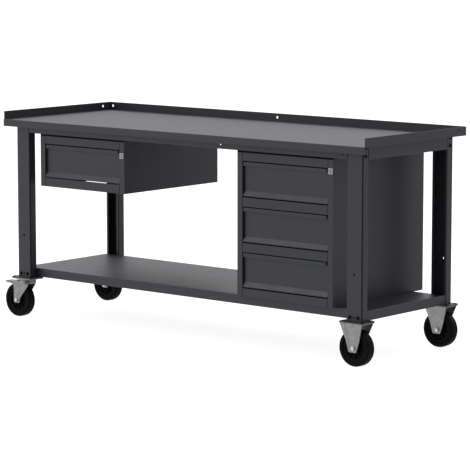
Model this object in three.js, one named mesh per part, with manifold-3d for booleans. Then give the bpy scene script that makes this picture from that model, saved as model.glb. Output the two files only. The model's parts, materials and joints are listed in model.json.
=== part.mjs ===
// Mobile sheet-steel workbench: a tray top on four channel legs, a lower shelf, a three-drawer
// cabinet on the right, a hung single-drawer unit on the left, and four casters.
// Millimetres. +X runs along the bench to the right, -Y is the working front, +Z is up.
// The origin is on the floor, under the centre of the whole object's bounding box.
import * as THREE from 'three';
import { mergeVertices } from 'three/addons/utils/BufferGeometryUtils.js';
import Module from 'manifold-3d';

const wasm = await Module();
wasm.setup();

// Fits
const FIT_GAP = 0.3;              // between pieces that rest against each other
const RUNNING_GAP = 0.5;          // radial, between pieces that turn on each other

// Worktop tray
const BENCH_LENGTH = 2000;
const BENCH_DEPTH = 690;
const WORKTOP_HEIGHT = 885;       // working surface above the floor
const TRAY_SHEET = 3;
const RIM_HEIGHT = 35;            // upstand at the back and both ends
const FRONT_FOLD = 31;            // downward fold along the front
const FOLD_LIP = 15;
const RIM_FRONT_SETBACK = 4;      // the end rims stop just behind the front bend
const RIM_HOLE_RADIUS = 6;
const RIM_HOLE_FROM_CORNER = 50;  // along the end rims
const BACK_HOLE_FROM_CORNER = 20; // along the back rim

// Legs: lipped channels, open towards the middle of the bench
const LEG_WIDTH = 76;
const LEG_DEPTH = 40;
const LEG_LIP = 12;
const LEG_SHEET = 2.5;
const SIDE_OVERHANG = 41;
const FRONT_OVERHANG = 41;
const REAR_OVERHANG = 35;
const LEG_HOLE_RADIUS = 5;
const LEG_HOLE_RISE = 192;        // above the leg's foot
const FOOT_HOLE_RADIUS = 4;
const FOOT_HOLE_RISE = 20;
const FOOT_PLATE_SHEET = 5;       // welded under each leg, as large as the caster's plate
const BEND_RADIUS = 2;            // inside radius of the folded channels

// Rails under the worktop
const RAIL_HEIGHT = 55;
const RAIL_FLANGE = 30;
const RAIL_SHEET = 2.5;
const RAIL_HOLE_RADIUS = 4;
const RAIL_HOLE_RISE = 18;
const RAIL_HOLE_INSET = 22;       // from each end of the front rail
const RAIL_HOLE_BESIDE_CABINET = 75;

// Lower shelf
const SHELF_FOLD = 39;            // its lower edge rests on the legs' foot plates
const SHELF_LIP = 12;
const SHELF_SHEET = 2;
const SHELF_END_INSET = 3;        // behind the legs' outer faces

// Drawer housings
const HOUSING_WIDTH = 500;
const HOUSING_SETBACK = 59;       // behind the worktop's front edge
const HOUSING_REAR_SETBACK = 18;  // in front of the worktop's back edge
const HOUSING_SHEET = 1.5;
const STILE_WIDTH = 27;
const TOP_BRIDGE = 42.5;          // above the highest drawer opening
const BRIDGE_HEIGHT = 37.5;       // between the openings, and below the single one
const CABINET_FOOT = 32.5;        // below the cabinet's lowest opening
const OPENING_LIP = 12;
const UNDERSIDE_FLANGE = 25;      // around the single unit's open underside
const CABINET_FROM_END = 199;     // from the worktop's right end
const SINGLE_FROM_END = 170;      // from its left end
const CABINET_DRAWERS = 3;

// Drawers
const FRONT_SIDE_GAP = 3;
const FRONT_EDGE_GAP = 4;
const FRONT_SHEET = 2;
const HANDLE_DROP = 16;           // height of the folded handle strip
const FRONT_RECESS = 11;          // panel face behind the handle strip
const FOOT_SLOPE = 20;            // height of the forward slope along the bottom
const FOOT_RETURN = 14;
const FRONT_BEND = 1;
const BOX_SHEET = 1.5;
const BOX_LIFT = 10;              // above the opening's lower edge
const BOX_HEADROOM = 31;          // below its upper edge
const BOX_REAR_GAP = 40;

// Telescopic runners
const RUNNER_SPACE = 13;          // between the drawer box and the fixed member's back
const RUNNER_INSET = 1;           // fixed member inside the opening's edge
const RUNNER_START = 25;          // behind the housing's front face
const RUNNER_REAR_GAP = 38;
const RUNNER_HEIGHT = 45;
const RUNNER_SHEET = 1.5;
const RUNNER_FLANGE = 8.5;
const RUNNER_STEP = 3.5;          // each member's height inside the last, per side
const MIDDLE_OFFSET = 3;
const MIDDLE_FLANGE = 6.5;
const DRAWER_RIB = 6.5;
const RUNNER_RISE = 30;           // runner's centre above the box's bottom
const FOOT_LENGTH = 30;
const FOOT_SETBACK = 60;

// Locks
const LOCK_WIDTH = 25;
const LOCK_HEIGHT = 28;
const LOCK_PLATE = 3;
const LOCK_BARREL_RADIUS = 9.5;
const LOCK_BARREL_LENGTH = 20;
const LOCK_PLUG_RADIUS = 7;
const LOCK_HOLE_CLEARANCE = 0.5;
const CABINET_LOCK_DROP = 12;     // below the top opening's upper edge
const SINGLE_LOCK_DROP = 25;
const CAM_LENGTH = 20;
const CAM_WIDTH = 8;
const CAM_SHEET = 3;
const KEYHOLE_WIDTH = 1.6;
const KEYHOLE_LENGTH = 9;
const KEYHOLE_DEPTH = 5;

// Casters
const WHEEL_RADIUS = 75;
const TYRE_WIDTH = 40;
const TYRE_DEPTH = 20;
const TYRE_SHOULDER = 6;          // chamfer across the tread
const TYRE_SHOULDER_DROP = 3;     // chamfer down the side
const RIM_WIDTH = 32;
const RIM_DEPTH = 9;
const HUB_RADIUS = 17;
const HUB_WIDTH = 42;
const WEB_THICKNESS = 9;
const AXLE_RADIUS = 6;
const AXLE_HEAD_RADIUS = 10;
const AXLE_HEAD = 6;
const PLATE_LENGTH = 120;
const PLATE_WIDTH = 84;
const PLATE_SHEET = 4;
const FORK_SHEET = 3;
const FORK_SIDE_CLEARANCE = 1;    // between the hub and each fork leg
const SWIVEL_TIP_DROP = 13;       // below the axle
const SWIVEL_TIP_WIDTH = 36;
const RIGID_TIP_DROP = 17;
const RIGID_TIP_WIDTH = 30;
const RIGID_TOP_INSET = 5;        // a rigid fork's top inside its plate's ends
const FORK_KNEE_RISE = 30;        // above the axle, where the legs start to splay
const FORK_BEND = 2;
const PLATE_OVER_WHEEL = 28;      // wheel's top to the top of the plate
const CASTER_OFFSET = 48;         // trail of the swivel casters, towards -X at rest
const FORK_THROAT_X = 8;          // where a swivel fork's leading edge bends, from its axis
const FORK_THROAT_DROP = 45;      // below the crown
const RACE_RADIUS = 34;
const RACE_HEIGHT = 8;
const CROWN_RADIUS = 37;
const CROWN_SHEET = 4;
const CROWN_GAP = 0.7;
const KINGPIN_RADIUS = 6;
const KINGPIN_NUT_RADIUS = 10;
const KINGPIN_NUT = 6;
const PEDAL_PIVOT_TRAIL = 80;     // from the swivel axis
const PEDAL_OVER_WHEEL = 3;       // wheel's top to the pedal's pivot
const PEDAL_PIN_RADIUS = 4;
const PEDAL_HUB_RADIUS = 7;
const PEDAL_TIP_TRAIL = 129;
const PEDAL_TIP_DROP = 5;         // below the pivot
const PEDAL_WIDTH = 34;
const PEDAL_SHEET = 4;
const PEDAL_HUB_CLEARANCE = 0.5;

const TYRE_STEPS = 32;
const ROUND_STEPS = 20;
const HOLE_STEPS = 16;
const BEND_STEPS = 2;

const FINISHES = {
  paint: { color: 0x48484a, roughness: 0.55, metalness: 0.1 },
  zinc: { color: 0x9b9aa0, roughness: 0.35, metalness: 0.9 },
  chrome: { color: 0xb8b8ba, roughness: 0.2, metalness: 1.0 },
  rubber: { color: 0x18181a, roughness: 0.8, metalness: 0.0 },
  plastic: { color: 0x202022, roughness: 0.5, metalness: 0.0 },
};

// Places that follow from the sizes above
const FRONT_EDGE = -BENCH_DEPTH / 2;
const BACK_EDGE = BENCH_DEPTH / 2;
const CASTER_HEIGHT = 2 * WHEEL_RADIUS + PLATE_OVER_WHEEL;
const PEDAL_PIVOT_HEIGHT = 2 * WHEEL_RADIUS + PEDAL_OVER_WHEEL;
const TRAY_UNDERSIDE = WORKTOP_HEIGHT - TRAY_SHEET;
const LEG_OUTER_X = BENCH_LENGTH / 2 - SIDE_OVERHANG;
const LEG_INNER_X = LEG_OUTER_X - LEG_WIDTH;
const LEG_CENTRE_X = LEG_OUTER_X - LEG_WIDTH / 2;
const FRONT_LEG_Y = FRONT_EDGE + FRONT_OVERHANG;
const REAR_LEG_Y = BACK_EDGE - REAR_OVERHANG;
const LEG_FOOT_Z = CASTER_HEIGHT + FIT_GAP;
const LEG_TOP_Z = TRAY_UNDERSIDE - FIT_GAP;
const RAIL_BOTTOM_Z = LEG_TOP_Z - RAIL_HEIGHT;
const HOUSING_FRONT = FRONT_EDGE + HOUSING_SETBACK;
const HOUSING_BACK = BACK_EDGE - HOUSING_REAR_SETBACK;
const HOUSING_TOP = RAIL_BOTTOM_Z - FIT_GAP;
const CABINET_CENTRE = (BENCH_LENGTH - HOUSING_WIDTH) / 2 - CABINET_FROM_END;
const SINGLE_CENTRE = SINGLE_FROM_END - (BENCH_LENGTH - HOUSING_WIDTH) / 2;
const FOOT_TOP_Z = LEG_FOOT_Z + FOOT_PLATE_SHEET;
const SHELF_HEIGHT = FOOT_TOP_Z + FIT_GAP + SHELF_FOLD;
const CABINET_BOTTOM = SHELF_HEIGHT + FIT_GAP;
const BRIDGES_HEIGHT = TOP_BRIDGE + (CABINET_DRAWERS - 1) * BRIDGE_HEIGHT + CABINET_FOOT;
const OPENING_HEIGHT = (HOUSING_TOP - CABINET_BOTTOM - BRIDGES_HEIGHT) / CABINET_DRAWERS;
const BOX_HEIGHT = OPENING_HEIGHT - BOX_LIFT - BOX_HEADROOM;
const RUNNER_FRONT = HOUSING_FRONT + RUNNER_START;
const RUNNER_END = HOUSING_BACK - RUNNER_REAR_GAP;
const SINGLE_BOTTOM = HOUSING_TOP - TOP_BRIDGE - OPENING_HEIGHT - BRIDGE_HEIGHT;
const OPENING_WIDTH = HOUSING_WIDTH - 2 * STILE_WIDTH;
const RUNNER_BACK = OPENING_WIDTH / 2 - RUNNER_INSET;
const BOX_WIDTH = 2 * (RUNNER_BACK - RUNNER_SPACE);
const AXLE_Z = WHEEL_RADIUS;
const FORK_INNER = HUB_WIDTH / 2 + FORK_SIDE_CLEARANCE;
const FORK_OUTER = FORK_INNER + FORK_SHEET;
const PLATE_UNDERSIDE = CASTER_HEIGHT - PLATE_SHEET;

const bench = new THREE.Group();
const X_AXIS = new THREE.Vector3(1, 0, 0);
const Y_AXIS = new THREE.Vector3(0, 1, 0);
const Z_AXIS = new THREE.Vector3(0, 0, 1);

// Turns a closed three.js geometry into a solid that can be joined and cut.
function solidOf(geometry) {
  const bare = geometry.clone();
  bare.deleteAttribute('normal');
  bare.deleteAttribute('uv');
  const merged = mergeVertices(bare, 1e-4);
  return new wasm.Manifold(new wasm.Mesh({
    numProp: 3,
    vertProperties: new Float32Array(merged.attributes.position.array),
    triVerts: new Uint32Array(merged.index.array),
  }));
}

function geometryOf(solid) {
  const mesh = solid.getMesh();
  const geometry = new THREE.BufferGeometry();
  geometry.setAttribute('position', new THREE.BufferAttribute(mesh.vertProperties, 3));
  geometry.setIndex(new THREE.BufferAttribute(mesh.triVerts, 1));
  geometry.computeVertexNormals();
  return geometry;
}

function addPiece(name, solid, finish) {
  const mesh = new THREE.Mesh(geometryOf(solid), new THREE.MeshStandardMaterial(FINISHES[finish]));
  mesh.name = name;
  bench.add(mesh);
}

function join(solids) {
  return solids.reduce((whole, piece) => whole.add(piece));
}

function block(x0, x1, y0, y1, z0, z1) {
  const geometry = new THREE.BoxGeometry(x1 - x0, y1 - y0, z1 - z0);
  geometry.translate((x0 + x1) / 2, (y0 + y1) / 2, (z0 + z1) / 2);
  return solidOf(geometry);
}

// A round bar between two points on an axis-parallel line along Y.
function barAlongY(radius, x, z, y0, y1, sides = HOLE_STEPS) {
  const geometry = new THREE.CylinderGeometry(radius, radius, y1 - y0, sides);
  geometry.translate(x, (y0 + y1) / 2, z);
  return solidOf(geometry);
}

function barAlongX(radius, y, z, x0, x1) {
  const geometry = new THREE.CylinderGeometry(radius, radius, x1 - x0, HOLE_STEPS);
  geometry.rotateZ(-Math.PI / 2);
  geometry.translate((x0 + x1) / 2, y, z);
  return solidOf(geometry);
}

function discAlongZ(radius, x, y, z0, z1, sides = ROUND_STEPS) {
  const geometry = new THREE.CylinderGeometry(radius, radius, z1 - z0, sides);
  geometry.rotateX(Math.PI / 2);
  geometry.translate(x, y, (z0 + z1) / 2);
  return solidOf(geometry);
}

// Extrudes an outline; `across`, `up` and `along` say where its x, y and depth directions go.
function extrude(outline, depth, across, up, along, start) {
  const geometry = new THREE.ExtrudeGeometry(new THREE.Shape(outline), {
    depth,
    bevelEnabled: false,
  });
  geometry.applyMatrix4(new THREE.Matrix4().makeBasis(across, up, along));
  geometry.translate(start.x, start.y, start.z);
  return solidOf(geometry);
}

// The outline holds (Y, Z) points.
function extrudeAlongX(outline, x0, x1) {
  return extrude(outline, x1 - x0, Y_AXIS, Z_AXIS, X_AXIS, new THREE.Vector3(x0, 0, 0));
}

// The outline holds (X, Z) points.
function extrudeAlongY(outline, y0, y1) {
  const back = Y_AXIS.clone().negate();
  return extrude(outline, y1 - y0, X_AXIS, Z_AXIS, back, new THREE.Vector3(0, y1, 0));
}

// The outline holds (X, Y) points.
function extrudeAlongZ(outline, z0, z1) {
  return extrude(outline, z1 - z0, X_AXIS, Y_AXIS, Z_AXIS, new THREE.Vector3(0, 0, z0));
}

function points(pairs) {
  return pairs.map(([x, y]) => new THREE.Vector2(x, y));
}

function mirrored(outline) {
  return outline.map((point) => new THREE.Vector2(-point.x, point.y));
}

// The outline of a sheet folded along a path. The path is the sheet's outer face, the sheet lies to
// its right, and every corner is a round bend with the given inside radius.
function foldedSheet(path, sheet, insideRadius) {
  const outer = [];
  const inner = [];
  const addPair = (centre, normal, outerReach, innerReach) => {
    outer.push(centre.clone().addScaledVector(normal, outerReach));
    inner.push(centre.clone().addScaledVector(normal, innerReach));
  };
  const directions = path.slice(1).map((point, i) => point.clone().sub(path[i]).normalize());
  const rightOf = (direction) => new THREE.Vector2(direction.y, -direction.x);
  addPair(path[0], rightOf(directions[0]), 0, sheet);
  for (let i = 1; i < path.length - 1; i += 1) {
    const turn = Math.atan2(directions[i - 1].cross(directions[i]), directions[i - 1].dot(directions[i]));
    const towardsSheet = turn < 0 ? 1 : -1;
    const outerRadius = turn < 0 ? insideRadius + sheet : insideRadius;
    const tangent = outerRadius * Math.tan(Math.abs(turn) / 2);
    const right = rightOf(directions[i - 1]);
    const centre = path[i].clone()
      .addScaledVector(directions[i - 1], -tangent)
      .addScaledVector(right, towardsSheet * outerRadius);
    for (let step = 0; step <= BEND_STEPS; step += 1) {
      const normal = right.clone().rotateAround(new THREE.Vector2(), (turn * step) / BEND_STEPS);
      const reach = -towardsSheet * outerRadius;
      addPair(centre, normal, reach, reach + sheet);
    }
  }
  addPair(path[path.length - 1], rightOf(directions[directions.length - 1]), 0, sheet);
  return outer.concat(inner.reverse());
}

function addWorktop() {
  const left = -BENCH_LENGTH / 2;
  const right = BENCH_LENGTH / 2;
  const rimTop = WORKTOP_HEIGHT + RIM_HEIGHT;
  const foldBottom = WORKTOP_HEIGHT - FRONT_FOLD;
  const rimStart = FRONT_EDGE + RIM_FRONT_SETBACK;
  const rimMiddleZ = WORKTOP_HEIGHT + RIM_HEIGHT / 2;
  const tray = join([
    block(left, right, FRONT_EDGE, BACK_EDGE, TRAY_UNDERSIDE, WORKTOP_HEIGHT),
    block(left, right, FRONT_EDGE, FRONT_EDGE + TRAY_SHEET, foldBottom, WORKTOP_HEIGHT),
    block(left, right, FRONT_EDGE, FRONT_EDGE + FOLD_LIP, foldBottom, foldBottom + TRAY_SHEET),
    block(left, right, BACK_EDGE - TRAY_SHEET, BACK_EDGE, TRAY_UNDERSIDE, rimTop),
    block(left, left + TRAY_SHEET, rimStart, BACK_EDGE, TRAY_UNDERSIDE, rimTop),
    block(right - TRAY_SHEET, right, rimStart, BACK_EDGE, TRAY_UNDERSIDE, rimTop),
  ]);
  const through = TRAY_SHEET;
  const sideHoleY = BACK_EDGE - RIM_HOLE_FROM_CORNER;
  const holes = [
    barAlongX(RIM_HOLE_RADIUS, sideHoleY, rimMiddleZ, left - through, left + 2 * through),
    barAlongX(RIM_HOLE_RADIUS, sideHoleY, rimMiddleZ, right - 2 * through, right + through),
  ];
  const backHoles = [left + BACK_HOLE_FROM_CORNER, 0, right - BACK_HOLE_FROM_CORNER];
  for (const x of backHoles) {
    const start = BACK_EDGE - 2 * through;
    holes.push(barAlongY(RIM_HOLE_RADIUS, x, rimMiddleZ, start, BACK_EDGE + through));
  }
  addPiece('worktop', tray.subtract(join(holes)), 'paint');
}

// A lipped channel in plan: the web faces -Y (or +Y when `turned`), the lips close the other side.
function legOutline(centreX, webY, turned) {
  const inwards = turned ? -1 : 1;
  const half = LEG_WIDTH / 2;
  const lipX = half - LEG_LIP;
  const path = points([[-lipX, LEG_DEPTH], [-half, LEG_DEPTH], [-half, 0], [half, 0],
    [half, LEG_DEPTH], [lipX, LEG_DEPTH]]);
  const outline = foldedSheet(path.reverse(), LEG_SHEET, BEND_RADIUS);
  return outline.map((point) => new THREE.Vector2(centreX + point.x, webY + inwards * point.y));
}

// A plate as large as a caster's, centred on the caster.
function footPrint(x, y, z0, z1) {
  const [halfLength, halfWidth] = [PLATE_LENGTH / 2, PLATE_WIDTH / 2];
  return block(x - halfLength, x + halfLength, y - halfWidth, y + halfWidth, z0, z1);
}

function addLegs() {
  for (const [side, centreX] of [['left', -LEG_CENTRE_X], ['right', LEG_CENTRE_X]]) {
    for (const [end, webY] of [['front', FRONT_LEG_Y], ['rear', REAR_LEG_Y]]) {
      const outline = legOutline(centreX, webY, end === 'rear');
      const channel = extrudeAlongZ(outline, LEG_FOOT_Z + 1, LEG_TOP_Z);
      const footY = webY + (end === 'rear' ? -LEG_DEPTH : LEG_DEPTH) / 2;
      const foot = footPrint(centreX, footY, LEG_FOOT_Z, FOOT_TOP_Z);
      const y0 = webY - LEG_SHEET * 2;
      const y1 = webY + LEG_SHEET * 2;
      const holes = join([
        barAlongY(LEG_HOLE_RADIUS, centreX, LEG_FOOT_Z + LEG_HOLE_RISE, y0, y1),
        barAlongY(FOOT_HOLE_RADIUS, centreX, LEG_FOOT_Z + FOOT_HOLE_RISE, y0, y1),
      ]);
      addPiece(`leg_${end}_${side}`, channel.subtract(holes).add(foot), 'paint');
    }
  }
}

// A channel section on its side: the web at 0, the flanges reaching out to RAIL_FLANGE.
function railOutline() {
  const path = points([[RAIL_FLANGE, RAIL_BOTTOM_Z], [0, RAIL_BOTTOM_Z], [0, LEG_TOP_Z],
    [RAIL_FLANGE, LEG_TOP_Z]]);
  return foldedSheet(path, RAIL_SHEET, BEND_RADIUS);
}

function moved(outline, distance) {
  return outline.map((point) => new THREE.Vector2(point.x + distance, point.y));
}

function addRails() {
  const reach = LEG_INNER_X - FIT_GAP;
  const holeZ = RAIL_BOTTOM_Z + RAIL_HOLE_RISE;
  const cabinetLeft = CABINET_CENTRE - HOUSING_WIDTH / 2;
  const y0 = FRONT_LEG_Y - RAIL_SHEET;
  const y1 = FRONT_LEG_Y + 2 * RAIL_SHEET;
  const holeXs = [RAIL_HOLE_INSET - reach, cabinetLeft - RAIL_HOLE_BESIDE_CABINET, reach - RAIL_HOLE_INSET];
  const holes = holeXs.map((x) => barAlongY(RAIL_HOLE_RADIUS, x, holeZ, y0, y1));
  const front = extrudeAlongX(moved(railOutline(), FRONT_LEG_Y), -reach, reach);
  addPiece('rail_front', front.subtract(join(holes)), 'paint');
  addPiece('rail_rear', extrudeAlongX(moved(mirrored(railOutline()), REAR_LEG_Y), -reach, reach), 'paint');
  const start = FRONT_LEG_Y + LEG_DEPTH + FIT_GAP;
  const end = REAR_LEG_Y - LEG_DEPTH - FIT_GAP;
  addPiece('rail_left', extrudeAlongY(moved(railOutline(), -LEG_OUTER_X), start, end), 'paint');
  addPiece('rail_right', extrudeAlongY(moved(mirrored(railOutline()), LEG_OUTER_X), start, end), 'paint');
}

function addShelf() {
  const x = LEG_OUTER_X - SHELF_END_INSET;
  const y0 = FRONT_LEG_Y + LEG_DEPTH + FIT_GAP;
  const y1 = REAR_LEG_Y - LEG_DEPTH - FIT_GAP;
  const bottom = SHELF_HEIGHT - SHELF_FOLD;
  const t = SHELF_SHEET;
  const lip = SHELF_LIP;
  const tray = block(-x, x, y0, y1, bottom, SHELF_HEIGHT);
  const hollow = block(t - x, x - t, y0 + t, y1 - t, bottom + t, SHELF_HEIGHT - t);
  const mouth = block(lip - x, x - lip, y0 + lip, y1 - lip, bottom - t, bottom + 2 * t);
  addPiece('shelf', tray.subtract(hollow.add(mouth)), 'paint');
}

function openingBottom(row) {
  return HOUSING_TOP - TOP_BRIDGE - OPENING_HEIGHT - row * (BRIDGE_HEIGHT + OPENING_HEIGHT);
}

function lockPlace(centreX, drop) {
  const x = centreX + HOUSING_WIDTH / 2 - STILE_WIDTH / 2;
  const z = openingBottom(0) + OPENING_HEIGHT - drop;
  return { x, z };
}

// A folded housing with a front frame; every drawer opening has a lip turned inwards round it.
function housingShell(centreX, bottom, rows, lockDrop) {
  const half = HOUSING_WIDTH / 2;
  const front = HOUSING_FRONT;
  const back = HOUSING_BACK;
  const t = HOUSING_SHEET;
  const outside = block(centreX - half, centreX + half, front, back, bottom, HOUSING_TOP);
  const inner = half - t;
  const inside = block(centreX - inner, centreX + inner, front + t, back - t, bottom + t, HOUSING_TOP - t);
  let shell = outside.subtract(inside);
  const open = OPENING_WIDTH / 2;
  const lipDepth = front + OPENING_LIP;
  for (let row = 0; row < rows; row += 1) {
    const z0 = openingBottom(row);
    const z1 = z0 + OPENING_HEIGHT;
    const lip = block(centreX - open - t, centreX + open + t, front, lipDepth, z0 - t, z1 + t);
    const opening = block(centreX - open, centreX + open, front - t, lipDepth + t, z0, z1);
    shell = shell.add(lip).subtract(opening);
  }
  const lock = lockPlace(centreX, lockDrop);
  const lockHole = LOCK_BARREL_RADIUS + LOCK_HOLE_CLEARANCE;
  return shell.subtract(barAlongY(lockHole, lock.x, lock.z, front - t, front + 2 * t));
}

function addHousings() {
  const cabinet = housingShell(CABINET_CENTRE, CABINET_BOTTOM, CABINET_DRAWERS, CABINET_LOCK_DROP);
  addPiece('cabinet_shell', cabinet, 'paint');
  const reach = HOUSING_WIDTH / 2 - UNDERSIDE_FLANGE;
  const underside = block(SINGLE_CENTRE - reach, SINGLE_CENTRE + reach,
    HOUSING_FRONT + UNDERSIDE_FLANGE, HOUSING_BACK - UNDERSIDE_FLANGE,
    SINGLE_BOTTOM - HOUSING_SHEET, SINGLE_BOTTOM + 2 * HOUSING_SHEET);
  const single = housingShell(SINGLE_CENTRE, SINGLE_BOTTOM, 1, SINGLE_LOCK_DROP);
  addPiece('single_shell', single.subtract(underside), 'paint');
}

// Side section of a drawer front, in (Y, Z): handle strip, top return, panel, forward slope, return.
function drawerFrontOutline(openingZ) {
  const strip = HOUSING_FRONT;
  const panelBack = strip + FRONT_RECESS + FRONT_SHEET;
  const top = openingZ + OPENING_HEIGHT - FRONT_EDGE_GAP;
  const bottom = openingZ + FRONT_EDGE_GAP + FRONT_SHEET;
  const path = points([[strip, top - HANDLE_DROP], [strip, top], [panelBack, top],
    [panelBack, bottom + FOOT_SLOPE], [strip + FRONT_SHEET, bottom], [strip + FOOT_RETURN, bottom]]);
  return foldedSheet(path, FRONT_SHEET, FRONT_BEND);
}

function drawerBox(centreX, openingZ) {
  const half = BOX_WIDTH / 2;
  const y0 = HOUSING_FRONT + FRONT_RECESS + FRONT_SHEET + FIT_GAP;
  const y1 = HOUSING_BACK - BOX_REAR_GAP;
  const z0 = openingZ + BOX_LIFT;
  const z1 = z0 + BOX_HEIGHT;
  const t = BOX_SHEET;
  const tray = block(centreX - half, centreX + half, y0, y1, z0, z1)
    .subtract(block(centreX - half + t, centreX + half - t, y0 + t, y1 - t, z0 + t, z1 + t));
  const runnerZ = z0 + RUNNER_RISE;
  const ribTop = RUNNER_HEIGHT / 2 - 2 * RUNNER_STEP;
  const ribEnd = RUNNER_END - FIT_GAP;
  const ribs = [];
  for (const side of [-1, 1]) {
    const inner = centreX + side * (half - t / 2);
    const outer = centreX + side * (half + DRAWER_RIB);
    const [x0, x1] = [Math.min(inner, outer), Math.max(inner, outer)];
    for (const z of [runnerZ + ribTop - RUNNER_SHEET, runnerZ - ribTop]) {
      ribs.push(block(x0, x1, RUNNER_FRONT, ribEnd, z, z + RUNNER_SHEET));
    }
  }
  return tray.add(join(ribs));
}

// Channel section of a runner member in (X, Z), for the left side: the web's back at `backX`.
function runnerOutline(backX, height, flange, runnerZ) {
  const z0 = runnerZ - height / 2;
  const z1 = runnerZ + height / 2;
  const t = RUNNER_SHEET;
  return points([[backX, z0], [backX + flange, z0], [backX + flange, z0 + t], [backX + t, z0 + t],
    [backX + t, z1 - t], [backX + flange, z1 - t], [backX + flange, z1], [backX, z1]]);
}

function addRunners(key, centreX, openingZ) {
  const runnerZ = openingZ + BOX_LIFT + RUNNER_RISE;
  const fixed = runnerOutline(-RUNNER_BACK, RUNNER_HEIGHT, RUNNER_FLANGE, runnerZ);
  const middleHeight = RUNNER_HEIGHT - 2 * RUNNER_STEP;
  const middle = runnerOutline(MIDDLE_OFFSET - RUNNER_BACK, middleHeight, MIDDLE_FLANGE, runnerZ);
  const wall = HOUSING_WIDTH / 2 - HOUSING_SHEET - FIT_GAP;
  const member = (outline) => extrudeAlongY(outline, RUNNER_FRONT, RUNNER_END);
  for (const side of ['left', 'right']) {
    const place = (outline) => moved(side === 'left' ? outline : mirrored(outline), centreX);
    const sign = side === 'left' ? -1 : 1;
    const web = centreX + sign * (RUNNER_BACK - RUNNER_SHEET / 2);
    const face = centreX + sign * wall;
    const [x0, x1] = [Math.min(web, face), Math.max(web, face)];
    const half = FOOT_LENGTH / 2;
    const feet = [RUNNER_FRONT + FOOT_SETBACK, RUNNER_END - FOOT_SETBACK]
      .map((y) => block(x0, x1, y - half, y + half, runnerZ - half, runnerZ + half));
    addPiece(`runner_fixed_${key}_${side}`, member(place(fixed)).add(join(feet)), 'zinc');
    addPiece(`runner_middle_${key}_${side}`, member(place(middle)), 'zinc');
  }
}

function addDrawer(key, centreX, row) {
  const z = openingBottom(row);
  const half = OPENING_WIDTH / 2 - FRONT_SIDE_GAP;
  const front = extrudeAlongX(drawerFrontOutline(z), centreX - half, centreX + half);
  addPiece(`drawer_front_${key}`, front, 'paint');
  addPiece(`drawer_box_${key}`, drawerBox(centreX, z), 'paint');
  addRunners(key, centreX, z);
}

function addLock(key, centreX, drop) {
  const { x, z } = lockPlace(centreX, drop);
  const face = HOUSING_FRONT - FIT_GAP;
  const plugHole = LOCK_PLUG_RADIUS + RUNNING_GAP;
  const barrelEnd = HOUSING_FRONT + LOCK_BARREL_LENGTH;
  const plateFront = face - LOCK_PLATE;
  const [halfWidth, halfHeight] = [LOCK_WIDTH / 2, LOCK_HEIGHT / 2];
  const body = block(x - halfWidth, x + halfWidth, plateFront, face, z - halfHeight, z + halfHeight)
    .add(barAlongY(LOCK_BARREL_RADIUS, x, z, plateFront + LOCK_PLATE / 2, barrelEnd, ROUND_STEPS))
    .subtract(barAlongY(plugHole, x, z, plateFront - 1, barrelEnd + 1, ROUND_STEPS));
  addPiece(`lock_case_${key}`, body, 'chrome');
  const camStart = barrelEnd + FIT_GAP;
  const camEnd = camStart + CAM_SHEET;
  const slotEnd = plateFront + KEYHOLE_DEPTH;
  const slot = block(x - KEYHOLE_WIDTH / 2, x + KEYHOLE_WIDTH / 2, plateFront - 1, slotEnd,
    z - KEYHOLE_LENGTH / 2, z + KEYHOLE_LENGTH / 2);
  const plug = barAlongY(LOCK_PLUG_RADIUS, x, z, plateFront, camEnd, ROUND_STEPS)
    .add(block(x - CAM_WIDTH / 2, x + CAM_WIDTH / 2, camStart, camEnd, z - CAM_LENGTH, z))
    .subtract(slot);
  addPiece(`lock_plug_${key}`, plug, 'chrome');
}

// A closed ring or disc turned about a line parallel to Y through (x, y, AXLE_Z).
function turned(profile, x, y, steps) {
  const ring = profile.concat([profile[0]]).map(([r, w]) => new THREE.Vector2(r, w));
  const geometry = new THREE.LatheGeometry(ring, steps);
  geometry.translate(x, y, AXLE_Z);
  return solidOf(geometry);
}

function tyreProfile() {
  const half = TYRE_WIDTH / 2;
  const seat = WHEEL_RADIUS - TYRE_DEPTH;
  const shoulder = WHEEL_RADIUS - TYRE_SHOULDER_DROP;
  return [[seat, -half], [shoulder, -half], [WHEEL_RADIUS, -half + TYRE_SHOULDER],
    [WHEEL_RADIUS, half - TYRE_SHOULDER], [shoulder, half], [seat, half]];
}

// The tyre's seat is many-sided, so the rim's corners stay inside the seat's flats.
function centreProfile() {
  const rim = (WHEEL_RADIUS - TYRE_DEPTH) * Math.cos(Math.PI / TYRE_STEPS) - FIT_GAP;
  const rimInner = rim - RIM_DEPTH;
  const bore = AXLE_RADIUS + RUNNING_GAP;
  const [rimHalf, webHalf, hubHalf] = [RIM_WIDTH / 2, WEB_THICKNESS / 2, HUB_WIDTH / 2];
  return [[bore, -hubHalf], [HUB_RADIUS, -hubHalf], [HUB_RADIUS, -webHalf], [rimInner, -webHalf],
    [rimInner, -rimHalf], [rim, -rimHalf], [rim, rimHalf], [rimInner, rimHalf],
    [rimInner, webHalf], [HUB_RADIUS, webHalf], [HUB_RADIUS, hubHalf], [bore, hubHalf]];
}

function addWheel(key, x, y) {
  addPiece(`wheel_tyre_${key}`, turned(tyreProfile(), x, y, TYRE_STEPS), 'rubber');
  addPiece(`wheel_centre_${key}`, turned(centreProfile(), x, y, ROUND_STEPS), 'plastic');
  const face = FORK_OUTER + FIT_GAP;
  const axle = join([
    barAlongY(AXLE_RADIUS, x, AXLE_Z, y - face - 1, y + face + 1, ROUND_STEPS),
    barAlongY(AXLE_HEAD_RADIUS, x, AXLE_Z, y - face - AXLE_HEAD, y - face, 6),
    barAlongY(AXLE_HEAD_RADIUS, x, AXLE_Z, y + face, y + face + AXLE_HEAD, 6),
  ]);
  addPiece(`wheel_axle_${key}`, axle, 'zinc');
}

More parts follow.
